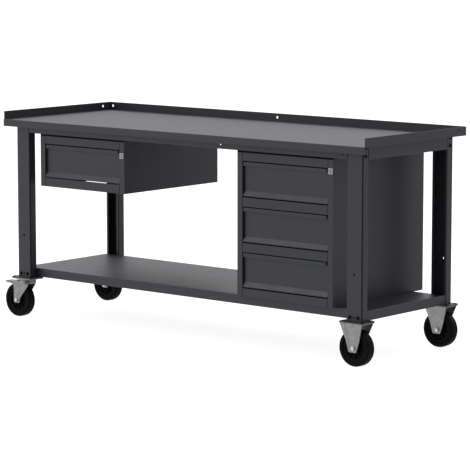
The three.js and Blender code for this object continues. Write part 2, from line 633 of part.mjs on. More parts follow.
// An inverted U of sheet across the wheel, its legs splayed above the knee, trimmed to a side outline.
function forkLegs(x, y, topZ, topReach, sideOutline) {
  const knee = AXLE_Z + FORK_KNEE_RISE;
  const tip = Math.min(...sideOutline.map((point) => point.y));
  const path = points([[-FORK_OUTER, tip], [-FORK_OUTER, knee], [-topReach, topZ], [topReach, topZ],
    [FORK_OUTER, knee], [FORK_OUTER, tip]]);
  const section = foldedSheet(path, FORK_SHEET, FORK_BEND)
    .map((point) => new THREE.Vector2(point.x + y, point.y));
  const reach = sideOutline.map((point) => point.x);
  const width = topReach + FORK_SHEET;
  return extrudeAlongX(section, x + Math.min(...reach) - 1, x + Math.max(...reach) + 1)
    .intersect(extrudeAlongY(moved(sideOutline, x), y - width, y + width));
}

function axleBore(x, y) {
  const reach = FORK_OUTER + 1;
  return barAlongY(AXLE_RADIUS + RUNNING_GAP, x, AXLE_Z, y - reach, y + reach, ROUND_STEPS);
}

function addRigidCaster(key, x, y) {
  const tip = RIGID_TIP_WIDTH / 2;
  const tipZ = AXLE_Z - RIGID_TIP_DROP;
  const top = PLATE_LENGTH / 2 - RIGID_TOP_INSET;
  const topZ = PLATE_UNDERSIDE + FORK_BEND;
  const outline = points([[-tip, tipZ], [tip, tipZ], [tip, AXLE_Z], [top, PLATE_UNDERSIDE],
    [top, topZ], [-top, topZ], [-top, PLATE_UNDERSIDE], [-tip, AXLE_Z]]);
  const plate = footPrint(x, y, PLATE_UNDERSIDE, CASTER_HEIGHT);
  const legs = forkLegs(x, y, topZ, PLATE_WIDTH / 2 - FORK_BEND, outline);
  addPiece(`caster_fork_${key}`, legs.add(plate).subtract(axleBore(x, y)), 'zinc');
  addWheel(key, x, y);
}

function addSwivelCaster(key, x, y) {
  const raceBottom = PLATE_UNDERSIDE - RACE_HEIGHT;
  const crownTop = raceBottom - CROWN_GAP;
  const crownBottom = crownTop - CROWN_SHEET;
  const nutTop = crownBottom - FIT_GAP;
  const plate = join([
    footPrint(x, y, PLATE_UNDERSIDE, CASTER_HEIGHT),
    discAlongZ(RACE_RADIUS, x, y, raceBottom, PLATE_UNDERSIDE + 1),
    discAlongZ(KINGPIN_RADIUS, x, y, nutTop - KINGPIN_NUT, raceBottom + 1, HOLE_STEPS),
    discAlongZ(KINGPIN_NUT_RADIUS, x, y, nutTop - KINGPIN_NUT, nutTop, 6),
  ]);
  addPiece(`caster_plate_${key}`, plate, 'zinc');

  const wheelX = x - CASTER_OFFSET;
  const pivotX = x - PEDAL_PIVOT_TRAIL;
  const tip = SWIVEL_TIP_WIDTH / 2;
  const tipZ = AXLE_Z - SWIVEL_TIP_DROP;
  const ear = PEDAL_HUB_RADIUS + FORK_SHEET;
  const crownEdge = CROWN_RADIUS - FORK_SHEET * 2;
  const outline = points([[-CASTER_OFFSET - tip, tipZ], [-CASTER_OFFSET + tip, tipZ],
    [-CASTER_OFFSET + tip, AXLE_Z], [FORK_THROAT_X, crownBottom - FORK_THROAT_DROP],
    [crownEdge, crownBottom], [crownEdge, crownTop], [-CASTER_OFFSET - tip, crownTop],
    [-PEDAL_PIVOT_TRAIL - ear / 2, PEDAL_PIVOT_HEIGHT + ear],
    [-PEDAL_PIVOT_TRAIL - ear, PEDAL_PIVOT_HEIGHT],
    [-PEDAL_PIVOT_TRAIL - ear / 2, PEDAL_PIVOT_HEIGHT - ear],
    [-CASTER_OFFSET - tip, AXLE_Z + FORK_KNEE_RISE]]);
  const legs = forkLegs(x, y, crownTop, FORK_OUTER + FORK_SHEET, outline);
  const pin = barAlongY(PEDAL_PIN_RADIUS, pivotX, PEDAL_PIVOT_HEIGHT, y - FORK_OUTER, y + FORK_OUTER);
  const kingpinBore = KINGPIN_RADIUS + RUNNING_GAP;
  const kingpinHole = discAlongZ(kingpinBore, x, y, crownBottom - 1, crownTop + 1, HOLE_STEPS);
  const overWheel = block(x - 2 * PEDAL_PIVOT_TRAIL, x - CROWN_RADIUS, y - FORK_INNER, y + FORK_INNER,
    tipZ, crownTop + 1);
  const crown = discAlongZ(CROWN_RADIUS, x, y, crownBottom, crownTop);
  const fork = legs.subtract(overWheel).add(crown).add(pin).subtract(kingpinHole)
    .subtract(axleBore(wheelX, y));
  addPiece(`caster_fork_${key}`, fork, 'zinc');
  addBrakePedal(key, pivotX, x - PEDAL_TIP_TRAIL, y);
  addWheel(key, wheelX, y);
}

function addBrakePedal(key, pivotX, tipX, y) {
  const hubReach = FORK_INNER - PEDAL_HUB_CLEARANCE;
  const half = PEDAL_WIDTH / 2;
  const z = PEDAL_PIVOT_HEIGHT;
  const tipZ = z - PEDAL_TIP_DROP;
  const tread = extrudeAlongY(points([[tipX, tipZ], [pivotX, z + PEDAL_HUB_RADIUS - PEDAL_SHEET],
    [pivotX, z + PEDAL_HUB_RADIUS], [tipX, tipZ + PEDAL_SHEET]]), y - half, y + half);
  const boreReach = hubReach + 1;
  const boreRadius = PEDAL_PIN_RADIUS + RUNNING_GAP;
  const hub = barAlongY(PEDAL_HUB_RADIUS, pivotX, z, y - hubReach, y + hubReach, ROUND_STEPS);
  const bore = barAlongY(boreRadius, pivotX, z, y - boreReach, y + boreReach, ROUND_STEPS);
  addPiece(`brake_pedal_${key}`, tread.add(hub).subtract(bore), 'zinc');
}

addWorktop();
addLegs();
addRails();
addShelf();
addHousings();
addDrawer('single', SINGLE_CENTRE, 0);
addDrawer('upper', CABINET_CENTRE, 0);
addDrawer('middle', CABINET_CENTRE, 1);
addDrawer('lower', CABINET_CENTRE, 2);
addLock('single', SINGLE_CENTRE, SINGLE_LOCK_DROP);
addLock('cabinet', CABINET_CENTRE, CABINET_LOCK_DROP);
for (const [end, y] of [['front', FRONT_LEG_Y + LEG_DEPTH / 2], ['rear', REAR_LEG_Y - LEG_DEPTH / 2]]) {
  addSwivelCaster(`${end}_left`, -LEG_CENTRE_X, y);
  addRigidCaster(`${end}_right`, LEG_CENTRE_X, y);
}

// The brake pedals reach past the worktop's left end, so the whole is centred by its real extent.
const extent = new THREE.Box3().setFromObject(bench);
bench.position.x = -(extent.min.x + extent.max.x) / 2;

export default bench;
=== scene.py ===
"""Finished shapes, finishes, light and camera for a mobile sheet-steel workbench with drawers."""
import cmath
import json
import logging
import math
from collections.abc import Callable, Iterable, Sequence
from dataclasses import dataclass
from enum import Enum
from typing import ClassVar, Protocol

import bmesh
import bpy
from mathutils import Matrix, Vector


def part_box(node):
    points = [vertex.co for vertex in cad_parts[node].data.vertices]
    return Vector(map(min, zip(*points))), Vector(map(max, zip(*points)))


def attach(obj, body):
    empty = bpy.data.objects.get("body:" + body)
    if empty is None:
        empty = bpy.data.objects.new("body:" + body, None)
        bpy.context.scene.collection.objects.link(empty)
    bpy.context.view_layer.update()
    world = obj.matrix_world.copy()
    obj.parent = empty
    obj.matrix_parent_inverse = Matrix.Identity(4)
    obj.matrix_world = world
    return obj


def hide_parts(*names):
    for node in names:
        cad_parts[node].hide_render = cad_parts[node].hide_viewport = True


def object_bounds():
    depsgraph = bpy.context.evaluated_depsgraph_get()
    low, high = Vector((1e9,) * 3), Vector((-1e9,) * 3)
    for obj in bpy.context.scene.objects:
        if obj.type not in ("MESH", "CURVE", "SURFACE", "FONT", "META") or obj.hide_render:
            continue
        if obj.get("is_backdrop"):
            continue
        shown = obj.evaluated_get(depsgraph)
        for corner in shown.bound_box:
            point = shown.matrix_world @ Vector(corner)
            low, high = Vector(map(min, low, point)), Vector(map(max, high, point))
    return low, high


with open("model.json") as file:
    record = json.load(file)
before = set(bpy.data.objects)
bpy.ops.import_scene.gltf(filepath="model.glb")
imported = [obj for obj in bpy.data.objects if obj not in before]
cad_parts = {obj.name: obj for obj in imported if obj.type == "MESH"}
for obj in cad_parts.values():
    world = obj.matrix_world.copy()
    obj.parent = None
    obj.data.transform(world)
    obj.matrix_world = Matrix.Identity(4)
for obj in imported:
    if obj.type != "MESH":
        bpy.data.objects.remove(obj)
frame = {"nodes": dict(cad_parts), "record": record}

LOG = logging.getLogger("workbench")
MM = 0.001
MERGE_DISTANCE = 1e-5
FLAT_ANGLE = math.radians(1.0)
SHARP_ANGLE = math.radians(30.0)
SMOOTH_ANGLE = math.radians(35.0)
PLANE_SLACK = 2e-5
STRAIGHT = 0.99


class Axis(Enum):
    """A direction of the shared frame, as an index into a vector."""

    X = 0
    Y = 1
    Z = 2


class Slot(Enum):
    """The record's material slots."""

    PAINT = "painted_steel"
    ZINC = "zinc_steel"
    LOCK = "lock_chrome"
    TYRE = "tyre_rubber"
    WHEEL = "wheel_plastic"


# ---------------------------------------------------------------------------
# Finishes
# ---------------------------------------------------------------------------


class MaterialSketch:
    """A node material under construction, read in object coordinates."""

    def __init__(self, name: str) -> None:
        """Starts an empty node tree with a shader and an output.

        Args:
            name: The material's name.
        """
        self.material = bpy.data.materials.new(name)
        self.material.use_nodes = True
        self.tree = self.material.node_tree
        self.tree.nodes.clear()
        self.shader = self.tree.nodes.new("ShaderNodeBsdfPrincipled")
        output = self.tree.nodes.new("ShaderNodeOutputMaterial")
        self.tree.links.new(self.shader.outputs["BSDF"], output.inputs["Surface"])
        self.coordinates = self.tree.nodes.new("ShaderNodeTexCoord").outputs["Object"]

    def link(self, source: bpy.types.NodeSocket, target: bpy.types.NodeSocket) -> None:
        """Joins two sockets."""
        self.tree.links.new(source, target)

    def stretched(self, scale: Sequence[float]) -> bpy.types.NodeSocket:
        """Object coordinates scaled unevenly, for streaks.

        Args:
            scale: Factor for each axis.

        Returns:
            The scaled vector socket.
        """
        mapping = self.tree.nodes.new("ShaderNodeMapping")
        mapping.inputs["Scale"].default_value = tuple(scale)
        self.link(self.coordinates, mapping.inputs["Vector"])
        return mapping.outputs["Vector"]

    def noise(
        self,
        scale: float,
        detail: float = 3.0,
        vector: bpy.types.NodeSocket | None = None,
    ) -> bpy.types.NodeSocket:
        """A noise texture.

        Args:
            scale: Features per metre, roughly.
            detail: Octaves.
            vector: Coordinates, or None for the plain object coordinates.

        Returns:
            The factor socket.
        """
        node = self.tree.nodes.new("ShaderNodeTexNoise")
        node.inputs["Scale"].default_value = scale
        node.inputs["Detail"].default_value = detail
        self.link(vector or self.coordinates, node.inputs["Vector"])
        return node.outputs["Fac"]

    def ramp(self, factor: bpy.types.NodeSocket, low: float, high: float) -> bpy.types.NodeSocket:
        """Maps the middle of a factor to a range.

        Args:
            factor: A factor, mostly between 0.3 and 0.7.
            low: Value at 0.3.
            high: Value at 0.7.

        Returns:
            The mapped value.
        """
        node = self.tree.nodes.new("ShaderNodeMapRange")
        node.inputs["From Min"].default_value = 0.3
        node.inputs["From Max"].default_value = 0.7
        node.inputs["To Min"].default_value = low
        node.inputs["To Max"].default_value = high
        self.link(factor, node.inputs["Value"])
        return node.outputs["Result"]

    def blend(
        self,
        factor: bpy.types.NodeSocket,
        first: Sequence[float],
        second: Sequence[float],
    ) -> bpy.types.NodeSocket:
        """Mixes two colours.

        Args:
            factor: Where 1 gives the second colour.
            first: Linear red, green and blue.
            second: Linear red, green and blue.

        Returns:
            The colour socket.
        """
        node = self.tree.nodes.new("ShaderNodeMix")
        node.data_type = "RGBA"
        sockets = [s for s in node.inputs if s.name in ("A", "B") and s.type == "RGBA"]
        sockets[0].default_value = (*first, 1.0)
        sockets[1].default_value = (*second, 1.0)
        self.link(factor, node.inputs["Factor"])
        return [s for s in node.outputs if s.type == "RGBA"][0]

    def bump(self, heights: Iterable[tuple[bpy.types.NodeSocket, float]]) -> None:
        """Chains bump nodes into the shader's normal.

        Args:
            heights: Height sockets with the depth of each in millimetres.
        """
        previous = None
        for height, depth in heights:
            node = self.tree.nodes.new("ShaderNodeBump")
            node.inputs["Strength"].default_value = 1.0
            node.inputs["Distance"].default_value = depth * MM
            self.link(height, node.inputs["Height"])
            if previous is not None:
                self.link(previous, node.inputs["Normal"])
            previous = node.outputs["Normal"]
        self.link(previous, self.shader.inputs["Normal"])


class Finish(Protocol):
    """Anything that can make a material for a slot."""

    def material(self) -> bpy.types.Material:
        """Builds the material."""


def tint(colour: Sequence[float], factor: float) -> tuple[float, ...]:
    """A colour made darker or lighter by a factor."""
    return tuple(c * factor for c in colour)


@dataclass(frozen=True)
class PowderCoat:
    """Fine-textured powder paint on sheet steel.

    Attributes:
        name: Material name.
        colour: Linear base colour.
        roughness: Mean roughness.
        spread: How far the roughness strays from its mean.
        shade: How far the colour strays from its mean, as a share.
        clouds: Size of the colour's drift, in features per metre.
        handling: Size of the roughness's drift, in features per metre.
        peel: Size of the orange peel, in features per metre.
        grain: Size of the paint's texture, in features per metre.
        grain_depth: Depth of the texture in millimetres.
        sheen_tint: Colour of the paint's reflections.
    """

    name: str = "powder_coat"
    colour: tuple[float, float, float] = (0.0112, 0.0114, 0.0145)
    roughness: float = 0.41
    spread: float = 0.03
    shade: float = 0.07
    clouds: float = 2.5
    handling: float = 11.0
    peel: float = 90.0
    grain: float = 900.0
    grain_depth: float = 0.05
    sheen_tint: tuple[float, float, float] = (0.95, 0.965, 1.0)

    def material(self) -> bpy.types.Material:
        """Builds the paint: cloudy colour, orange peel, and a fine grain.

        Returns:
            The material.
        """
        sketch = MaterialSketch(self.name)
        drift = sketch.ramp(sketch.noise(self.clouds, 4.0), 0.0, 1.0)
        darker, lighter = tint(self.colour, 1.0 - self.shade), tint(self.colour, 1.0 + self.shade)
        sketch.link(sketch.blend(drift, darker, lighter), sketch.shader.inputs["Base Color"])
        handling = sketch.noise(self.handling, 6.0)
        sketch.link(
            sketch.ramp(handling, self.roughness - self.spread, self.roughness + self.spread),
            sketch.shader.inputs["Roughness"],
        )
        sketch.shader.inputs["Specular Tint"].default_value = (*self.sheen_tint, 1.0)
        sketch.bump([
            (sketch.noise(self.peel, 2.0), self.grain_depth),
            (sketch.noise(self.grain, 2.0), self.grain_depth),
        ])
        return sketch.material


@dataclass(frozen=True)
class ZincPlate:
    """Dull zinc plate on pressings, stained and streaked by rolling.

    Attributes:
        name: Material name.
        colour: Linear base colour.
        roughness: Mean roughness.
        metal: Share of metal in the surface.
        stains: Size of the stains, in features per metre.
        streaks: Size of the rolling streaks, in features per metre.
        stretch: How much each axis is drawn together for the streaks.
        streak_depth: Depth of the streaks in millimetres.
    """

    name: str = "zinc_plate"
    colour: tuple[float, float, float] = (0.27, 0.266, 0.266)
    roughness: float = 0.38
    metal: float = 0.9
    stains: float = 45.0
    streaks: float = 60.0
    stretch: tuple[float, float, float] = (1.0, 1.0, 12.0)
    streak_depth: float = 0.02

    def material(self) -> bpy.types.Material:
        """Builds the plated metal.

        Returns:
            The material.
        """
        sketch = MaterialSketch(self.name)
        stains = sketch.noise(self.stains, 5.0)
        sketch.link(
            sketch.blend(sketch.ramp(stains, 0.0, 1.0), tint(self.colour, 0.84), tint(self.colour, 1.1)),
            sketch.shader.inputs["Base Color"],
        )
        streaks = sketch.noise(self.streaks, 4.0, sketch.stretched(self.stretch))
        sketch.link(
            sketch.ramp(streaks, self.roughness - 0.08, self.roughness + 0.1),
            sketch.shader.inputs["Roughness"],
        )
        sketch.shader.inputs["Metallic"].default_value = self.metal
        sketch.bump([(streaks, self.streak_depth)])
        return sketch.material


@dataclass(frozen=True)
class BrightZinc(ZincPlate):
    """New zinc on bolts: lighter and smoother than on the pressings.

    Attributes:
        name: Material name.
        colour: Linear base colour.
        roughness: Mean roughness.
    """

    name: str = "bright_zinc"
    colour: tuple[float, float, float] = (0.62, 0.62, 0.63)
    roughness: float = 0.32


@dataclass(frozen=True)
class SatinNickel:
    """Satin nickel on the lock's plate and plug.

    Attributes:
        name: Material name.
        colour: Linear base colour.
        roughness: Mean roughness.
        brushing: Size of the brush marks, in features per metre.
        stretch: How much each axis is drawn together for the marks.
        mark_depth: Depth of the marks in millimetres.
    """

    name: str = "satin_nickel"
    colour: tuple[float, float, float] = (0.31, 0.31, 0.312)
    roughness: float = 0.3
    brushing: float = 400.0
    stretch: tuple[float, float, float] = (6.0, 6.0, 0.4)
    mark_depth: float = 0.01

    def material(self) -> bpy.types.Material:
        """Builds the nickel with a fine vertical brushing.

        Returns:
            The material.
        """
        sketch = MaterialSketch(self.name)
        brushing = sketch.noise(self.brushing, 3.0, sketch.stretched(self.stretch))
        sketch.link(
            sketch.blend(sketch.ramp(brushing, 0.0, 1.0), tint(self.colour, 0.9), tint(self.colour, 1.1)),
            sketch.shader.inputs["Base Color"],
        )
        sketch.link(
            sketch.ramp(brushing, self.roughness - 0.05, self.roughness + 0.1),
            sketch.shader.inputs["Roughness"],
        )
        sketch.shader.inputs["Metallic"].default_value = 1.0
        sketch.bump([(brushing, self.mark_depth)])
        return sketch.material


@dataclass(frozen=True)
class MouldedBlack:
    """Black rubber or plastic with a moulded skin.

    Attributes:
        name: Material name.
        colour: Linear base colour.
        dust: Linear colour of the dust that dulls it.
        roughness: Mean roughness.
        grain_depth: Depth of the skin's texture in millimetres.
        gloss: Specular level, where 0.5 is plain plastic.
        scuffs: Size of the scuffs, in features per metre.
        grain: Size of the skin's texture, in features per metre.
    """

    name: str
    colour: tuple[float, float, float]
    dust: tuple[float, float, float]
    roughness: float
    grain_depth: float
    gloss: float = 0.08
    scuffs: float = 35.0
    grain: float = 700.0

    def material(self) -> bpy.types.Material:
        """Builds the moulded material.

        Returns:
            The material.
        """
        sketch = MaterialSketch(self.name)
        scuffs = sketch.noise(self.scuffs, 8.0)
        sketch.link(
            sketch.blend(sketch.ramp(scuffs, 0.0, 0.6), self.colour, self.dust),
            sketch.shader.inputs["Base Color"],
        )
        sketch.link(
            sketch.ramp(scuffs, self.roughness - 0.08, self.roughness + 0.12),
            sketch.shader.inputs["Roughness"],
        )
        sketch.shader.inputs["Specular IOR Level"].default_value = self.gloss
        sketch.bump([(sketch.noise(self.grain, 3.0), self.grain_depth)])
        return sketch.material


class Palette:
    """The finish of each slot, with bolts and the black of joints and painted shade apart, made once."""

    FINISHES: dict[Slot, Finish] = {
        Slot.PAINT: PowderCoat(),
        Slot.ZINC: ZincPlate(),
        Slot.LOCK: SatinNickel(),
        Slot.TYRE: MouldedBlack("tyre_rubber", (0.002, 0.002, 0.0021), (0.003, 0.003, 0.003), 0.62, 0.08),
        Slot.WHEEL: MouldedBlack("wheel_plastic", (0.0025, 0.0025, 0.0026), (0.004, 0.004, 0.004), 0.5, 0.04),
    }
    # Black for dark joints, and painted shade: the grooves down the legs' bends, the band under the rails and
    # the keyhole.
    SEAM = MouldedBlack("seam_sealant", (0.003, 0.003, 0.003), (0.005, 0.005, 0.005), 0.85, 0.03)

    def __init__(self) -> None:
        """Builds every material."""
        self.materials = {slot: finish.material() for slot, finish in self.FINISHES.items()}
        self.seam = self.SEAM.material()
        self.bolts = BrightZinc().material()

    def dress(self, thing: bpy.types.Object, slot: Slot, bolt: bool = False) -> None:
        """Gives an object its finish, and the black of joints and painted shade where its faces are so
        marked.

        Args:
            thing: The object.
            slot: The slot whose finish it takes.
            bolt: Whether it is a zinc fastener.
        """
        seams = [face.material_index for face in thing.data.polygons]
        thing.data.materials.clear()
        thing.data.materials.append(self.bolts if bolt and slot is Slot.ZINC else self.materials[slot])
        if any(seams):
            thing.data.materials.append(self.seam)
            thing.data.polygons.foreach_set("material_index", seams)

    def dress_frame(self) -> None:
        """Gives every carried-over node the finish of its record slot."""
        slots = {part["node"]: Slot(part["material_slot"]) for part in frame["record"]["subparts"]}
        for node, thing in frame["nodes"].items():
            for holder in thing.material_slots:
                holder.material = self.materials[slots[node]]


# ---------------------------------------------------------------------------
# Shapes
# ---------------------------------------------------------------------------

Outline = list[complex]


@dataclass(frozen=True)
class Box:
    """A CAD node's box at rest.

    Attributes:
        low: Lowest corner in metres.
        high: Highest corner in metres.
    """

    low: Vector
    high: Vector

    @classmethod
    def of(cls, node: str) -> "Box":
        """Reads a node's box from the frame.

        Args:
            node: The node's name.

        Returns:
            Its box.
        """
        low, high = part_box(node)
        return cls(Vector(low), Vector(high))

    @property
    def centre(self) -> Vector:
        """The middle of the box."""
        return (self.low + self.high) / 2


def mirrored(outline: Outline, across: float = 0.0) -> Outline:
    """Reflects an outline left to right about a line.

    Args:
        outline: Plane points.
        across: Where the line crosses the first axis.

    Returns:
        The reflected points.
    """
    return [complex(2 * across - point.real, point.imag) for point in outline]


def moved(outline: Outline, distance: complex) -> Outline:
    """Shifts an outline.

    Args:
        outline: Plane points.
        distance: The shift.

    Returns:
        The shifted points.
    """
    return [point + distance for point in outline]


def folded_sheet(path: Outline, sheet: float, inside: float, steps: int = 6) -> Outline:
    """Outline of a sheet folded along a path, with a round bend at every corner.

    Args:
        path: The sheet's outer face; the sheet lies to the right of it.
        sheet: Thickness in metres.
        inside: Inside bend radius in metres.
        steps: Facets in each bend.

    Returns:
        The closed outline.
    """
    headings = [(b - a) / abs(b - a) for a, b in zip(path, path[1:])]
    outer = [path[0]]
    inner = [path[0] - 1j * headings[0] * sheet]
    for corner, before, after in zip(path[1:-1], headings, headings[1:]):
        turn = cmath.phase(after / before)
        side = 1 if turn < 0 else -1
        radius = inside + sheet if turn < 0 else inside
        right = -1j * before
        centre = corner - before * radius * math.tan(abs(turn) / 2) + right * side * radius
        for step in range(steps + 1):
            normal = right * cmath.exp(1j * turn * step / steps)
            outer.append(centre - normal * side * radius)
            inner.append(centre - normal * (side * radius - sheet))
    outer.append(path[-1])
    inner.append(path[-1] - 1j * headings[-1] * sheet)
    return outer + inner[::-1]


def rounded_rectangle(low: complex, high: complex, radius: float, steps: int = 5) -> Outline:
    """A rectangle with round corners.

    Args:
        low: Its lowest corner.
        high: Its highest corner.
        radius: Corner radius.
        steps: Facets in each corner.

    Returns:
        The closed outline.
    """
    centres = (
        high - radius * (1 + 1j),
        complex(low.real + radius, high.imag - radius),
        low + radius * (1 + 1j),
        complex(high.real - radius, low.imag + radius),
    )
    return [
        centre + radius * cmath.exp(0.5j * math.pi * (quarter + step / steps))
        for quarter, centre in enumerate(centres)
        for step in range(steps + 1)
    ]


class Draft:
    """Closed shells gathered into one piece, in metres."""

    PLANES = {Axis.X: (1, 2), Axis.Y: (0, 2), Axis.Z: (0, 1)}

    def __init__(self) -> None:
        """Starts with nothing."""
        self.mesh = bmesh.new()

    @classmethod
    def copy_of(cls, *nodes: str) -> "Draft":
        """Starts from CAD nodes, merged and freed of needless edges.

        Args:
            nodes: Node names.

        Returns:
            The draft.
        """
        draft = cls()
        for node in nodes:
            draft.mesh.from_mesh(frame["nodes"][node].data)
        mesh = draft.mesh
        bmesh.ops.remove_doubles(mesh, verts=mesh.verts, dist=MERGE_DISTANCE)
        bmesh.ops.dissolve_limit(
            mesh, angle_limit=FLAT_ANGLE, use_dissolve_boundaries=False, verts=mesh.verts, edges=mesh.edges
        )
        return draft

    def skin(self, rings: Sequence[Sequence[Vector]], closed: bool = False) -> "Draft":
        """Joins rings of points into a closed shell.

        Args:
            rings: Rings with the same number of points.
            closed: Whether the last ring meets the first; otherwise both ends are capped.

        Returns:
            The draft itself.
        """
        corners = [[self.mesh.verts.new(point) for point in ring] for ring in rings]
        pairs = list(zip(corners, corners[1:]))
        if closed:
            pairs.append((corners[-1], corners[0]))
        for ring, following in pairs:
            for i, corner in enumerate(ring):
                after = (i + 1) % len(ring)
                self.mesh.faces.new((corner, ring[after], following[after], following[i]))
        if not closed:
            self.mesh.faces.new(corners[0][::-1])
            self.mesh.faces.new(corners[-1])
        return self

    def prism(self, outline: Outline, axis: Axis, start: float, end: float) -> "Draft":
        """Extrudes an outline.

        Args:
            outline: Points in the plane of the other two axes, in their order.
            axis: Direction of the extrusion.
            start: Where it starts along the axis.
            end: Where it ends.

        Returns:
            The draft itself.
        """
        across, up = self.PLANES[axis]
        rings = []
        for level in (start, end):
            ring = []
            for point in outline:
                place = Vector((level, level, level))
                place[across], place[up] = point.real, point.imag
                ring.append(place)
            rings.append(ring)
        return self.skin(rings)

    def block(self, low: Sequence[float], high: Sequence[float]) -> "Draft":
        """Adds a box.

        Args:
            low: Lowest corner.
            high: Highest corner.

        Returns:
            The draft itself.
        """
        corners = [complex(low[0], low[1]), complex(high[0], low[1]), complex(high[0], high[1])]
        corners.append(complex(low[0], high[1]))
        return self.prism(corners, Axis.Z, low[2], high[2])

    def lathe(self, profile: Outline, centre: Vector, axis: Axis, steps: int = 48) -> "Draft":
        """Turns a closed profile about an axis.

        Args:
            profile: Points of radius and distance along the axis.
            centre: A point on the axis.
            axis: Direction of the axis.
            steps: Facets round it.

        Returns:
            The draft itself.
        """
        across, up = self.PLANES[axis]
        rings = []
        for step in range(steps):
            angle = 2 * math.pi * step / steps
            ring = []
            for point in profile:
                place = centre.copy()
                place[across] += point.real * math.cos(angle)
                place[up] += point.real * math.sin(angle)
                place[axis.value] += point.imag
                ring.append(place)
            rings.append(ring)
        return self.skin(rings, closed=True)

    def bar(self, centre: Vector, axis: Axis, radius: float, length: float, steps: int = 32) -> "Draft":
        """Adds a round bar.

        Args:
            centre: Its middle.
            axis: Its direction.
            radius: Its radius.
            length: Its length.
            steps: Facets round it.

        Returns:
            The draft itself.
        """
        across, up = self.PLANES[axis]
        middle = complex(centre[across], centre[up])
        outline = [middle + radius * cmath.exp(2j * math.pi * i / steps) for i in range(steps)]
        start = centre[axis.value] - length / 2
        return self.prism(outline, axis, start, start + length)

    def face_outwards(self) -> None:
        """Turns every shell's faces outwards."""
        bmesh.ops.recalc_face_normals(self.mesh, faces=self.mesh.faces)

    def plain_object(self, name: str) -> bpy.types.Object:
        """Makes an object of the draft.

        Args:
            name: The object's name.

        Returns:
            The object, linked to the scene.
        """
        self.face_outwards()
        mesh = bpy.data.meshes.new(name)
        self.mesh.to_mesh(mesh)
        for _ in ("finish", "seam"):
            mesh.materials.append(None)
        thing = bpy.data.objects.new(name, mesh)
        bpy.context.scene.collection.objects.link(thing)
        return thing

    def as_seam(self) -> "Draft":
        """Marks every face for the black of joints and painted shade, which what it cuts takes over.

        Returns:
            The draft itself.
        """
        for face in self.mesh.faces:
            face.material_index = 1
        return self

    def cut(self, tool: "Draft") -> "Draft":
        """Takes another draft's volume out of this one.

        Args:
            tool: What is cut away; it is used up.

        Returns:
            The draft itself.
        """
        target, cutter = self.plain_object("target"), tool.plain_object("cutter")
        modifier = target.modifiers.new("cut", "BOOLEAN")
        modifier.operation = "DIFFERENCE"
        modifier.solver = "EXACT"
        modifier.object = cutter
        result = evaluated(target)
        self.mesh.clear()
        self.mesh.from_mesh(result)
        for mesh in (result, target.data, cutter.data):
            bpy.data.meshes.remove(mesh)
        return self

    def bevel(
        self,
        width: float,
        segments: int = 1,
        choose: Callable[[bmesh.types.BMEdge], bool] = lambda edge: True,
    ) -> "Draft":
        """Rounds the sharp edges that a test picks.

        Args:
            width: Width of the bevel in metres.
            segments: Facets across it.
            choose: Tells whether an edge is rounded.

        Returns:
            The draft itself.
        """
        self.face_outwards()
        edges = [
            edge for edge in self.mesh.edges
            if edge.is_manifold and edge.calc_face_angle() > SHARP_ANGLE and choose(edge)
        ]
        bmesh.ops.bevel(
            self.mesh, geom=edges, offset=width, segments=segments, profile=0.5,
            affect="EDGES", clamp_overlap=True, offset_type="OFFSET",
        )
        return self


def lies_along(axis: Axis, *planes: tuple[Axis, float]) -> Callable[[bmesh.types.BMEdge], bool]:
    """A test for edges that run along an axis and lie in given planes.

    Args:
        axis: The edge's direction.
        planes: Axis and level of each plane the edge lies in.

    Returns:
        The test.
    """

    def test(edge: bmesh.types.BMEdge) -> bool:
        first, second = (vertex.co for vertex in edge.verts)
        run = second - first
        if abs(run[axis.value]) < STRAIGHT * run.length:
            return False
        return all(abs(first[plane.value] - level) < PLANE_SLACK for plane, level in planes)

    return test


def evaluated(thing: bpy.types.Object) -> bpy.types.Mesh:
    """A new plain mesh of an object with its modifiers applied."""
    return bpy.data.meshes.new_from_object(thing.evaluated_get(bpy.context.evaluated_depsgraph_get()))


# ---------------------------------------------------------------------------
# Repeated small parts
# ---------------------------------------------------------------------------


@dataclass(frozen=True)
class Spot:
    """A place for a repeated part.

    Attributes:
        place: Where its foot stands.
        facing: The way it points.
    """

    place: Vector
    facing: Vector


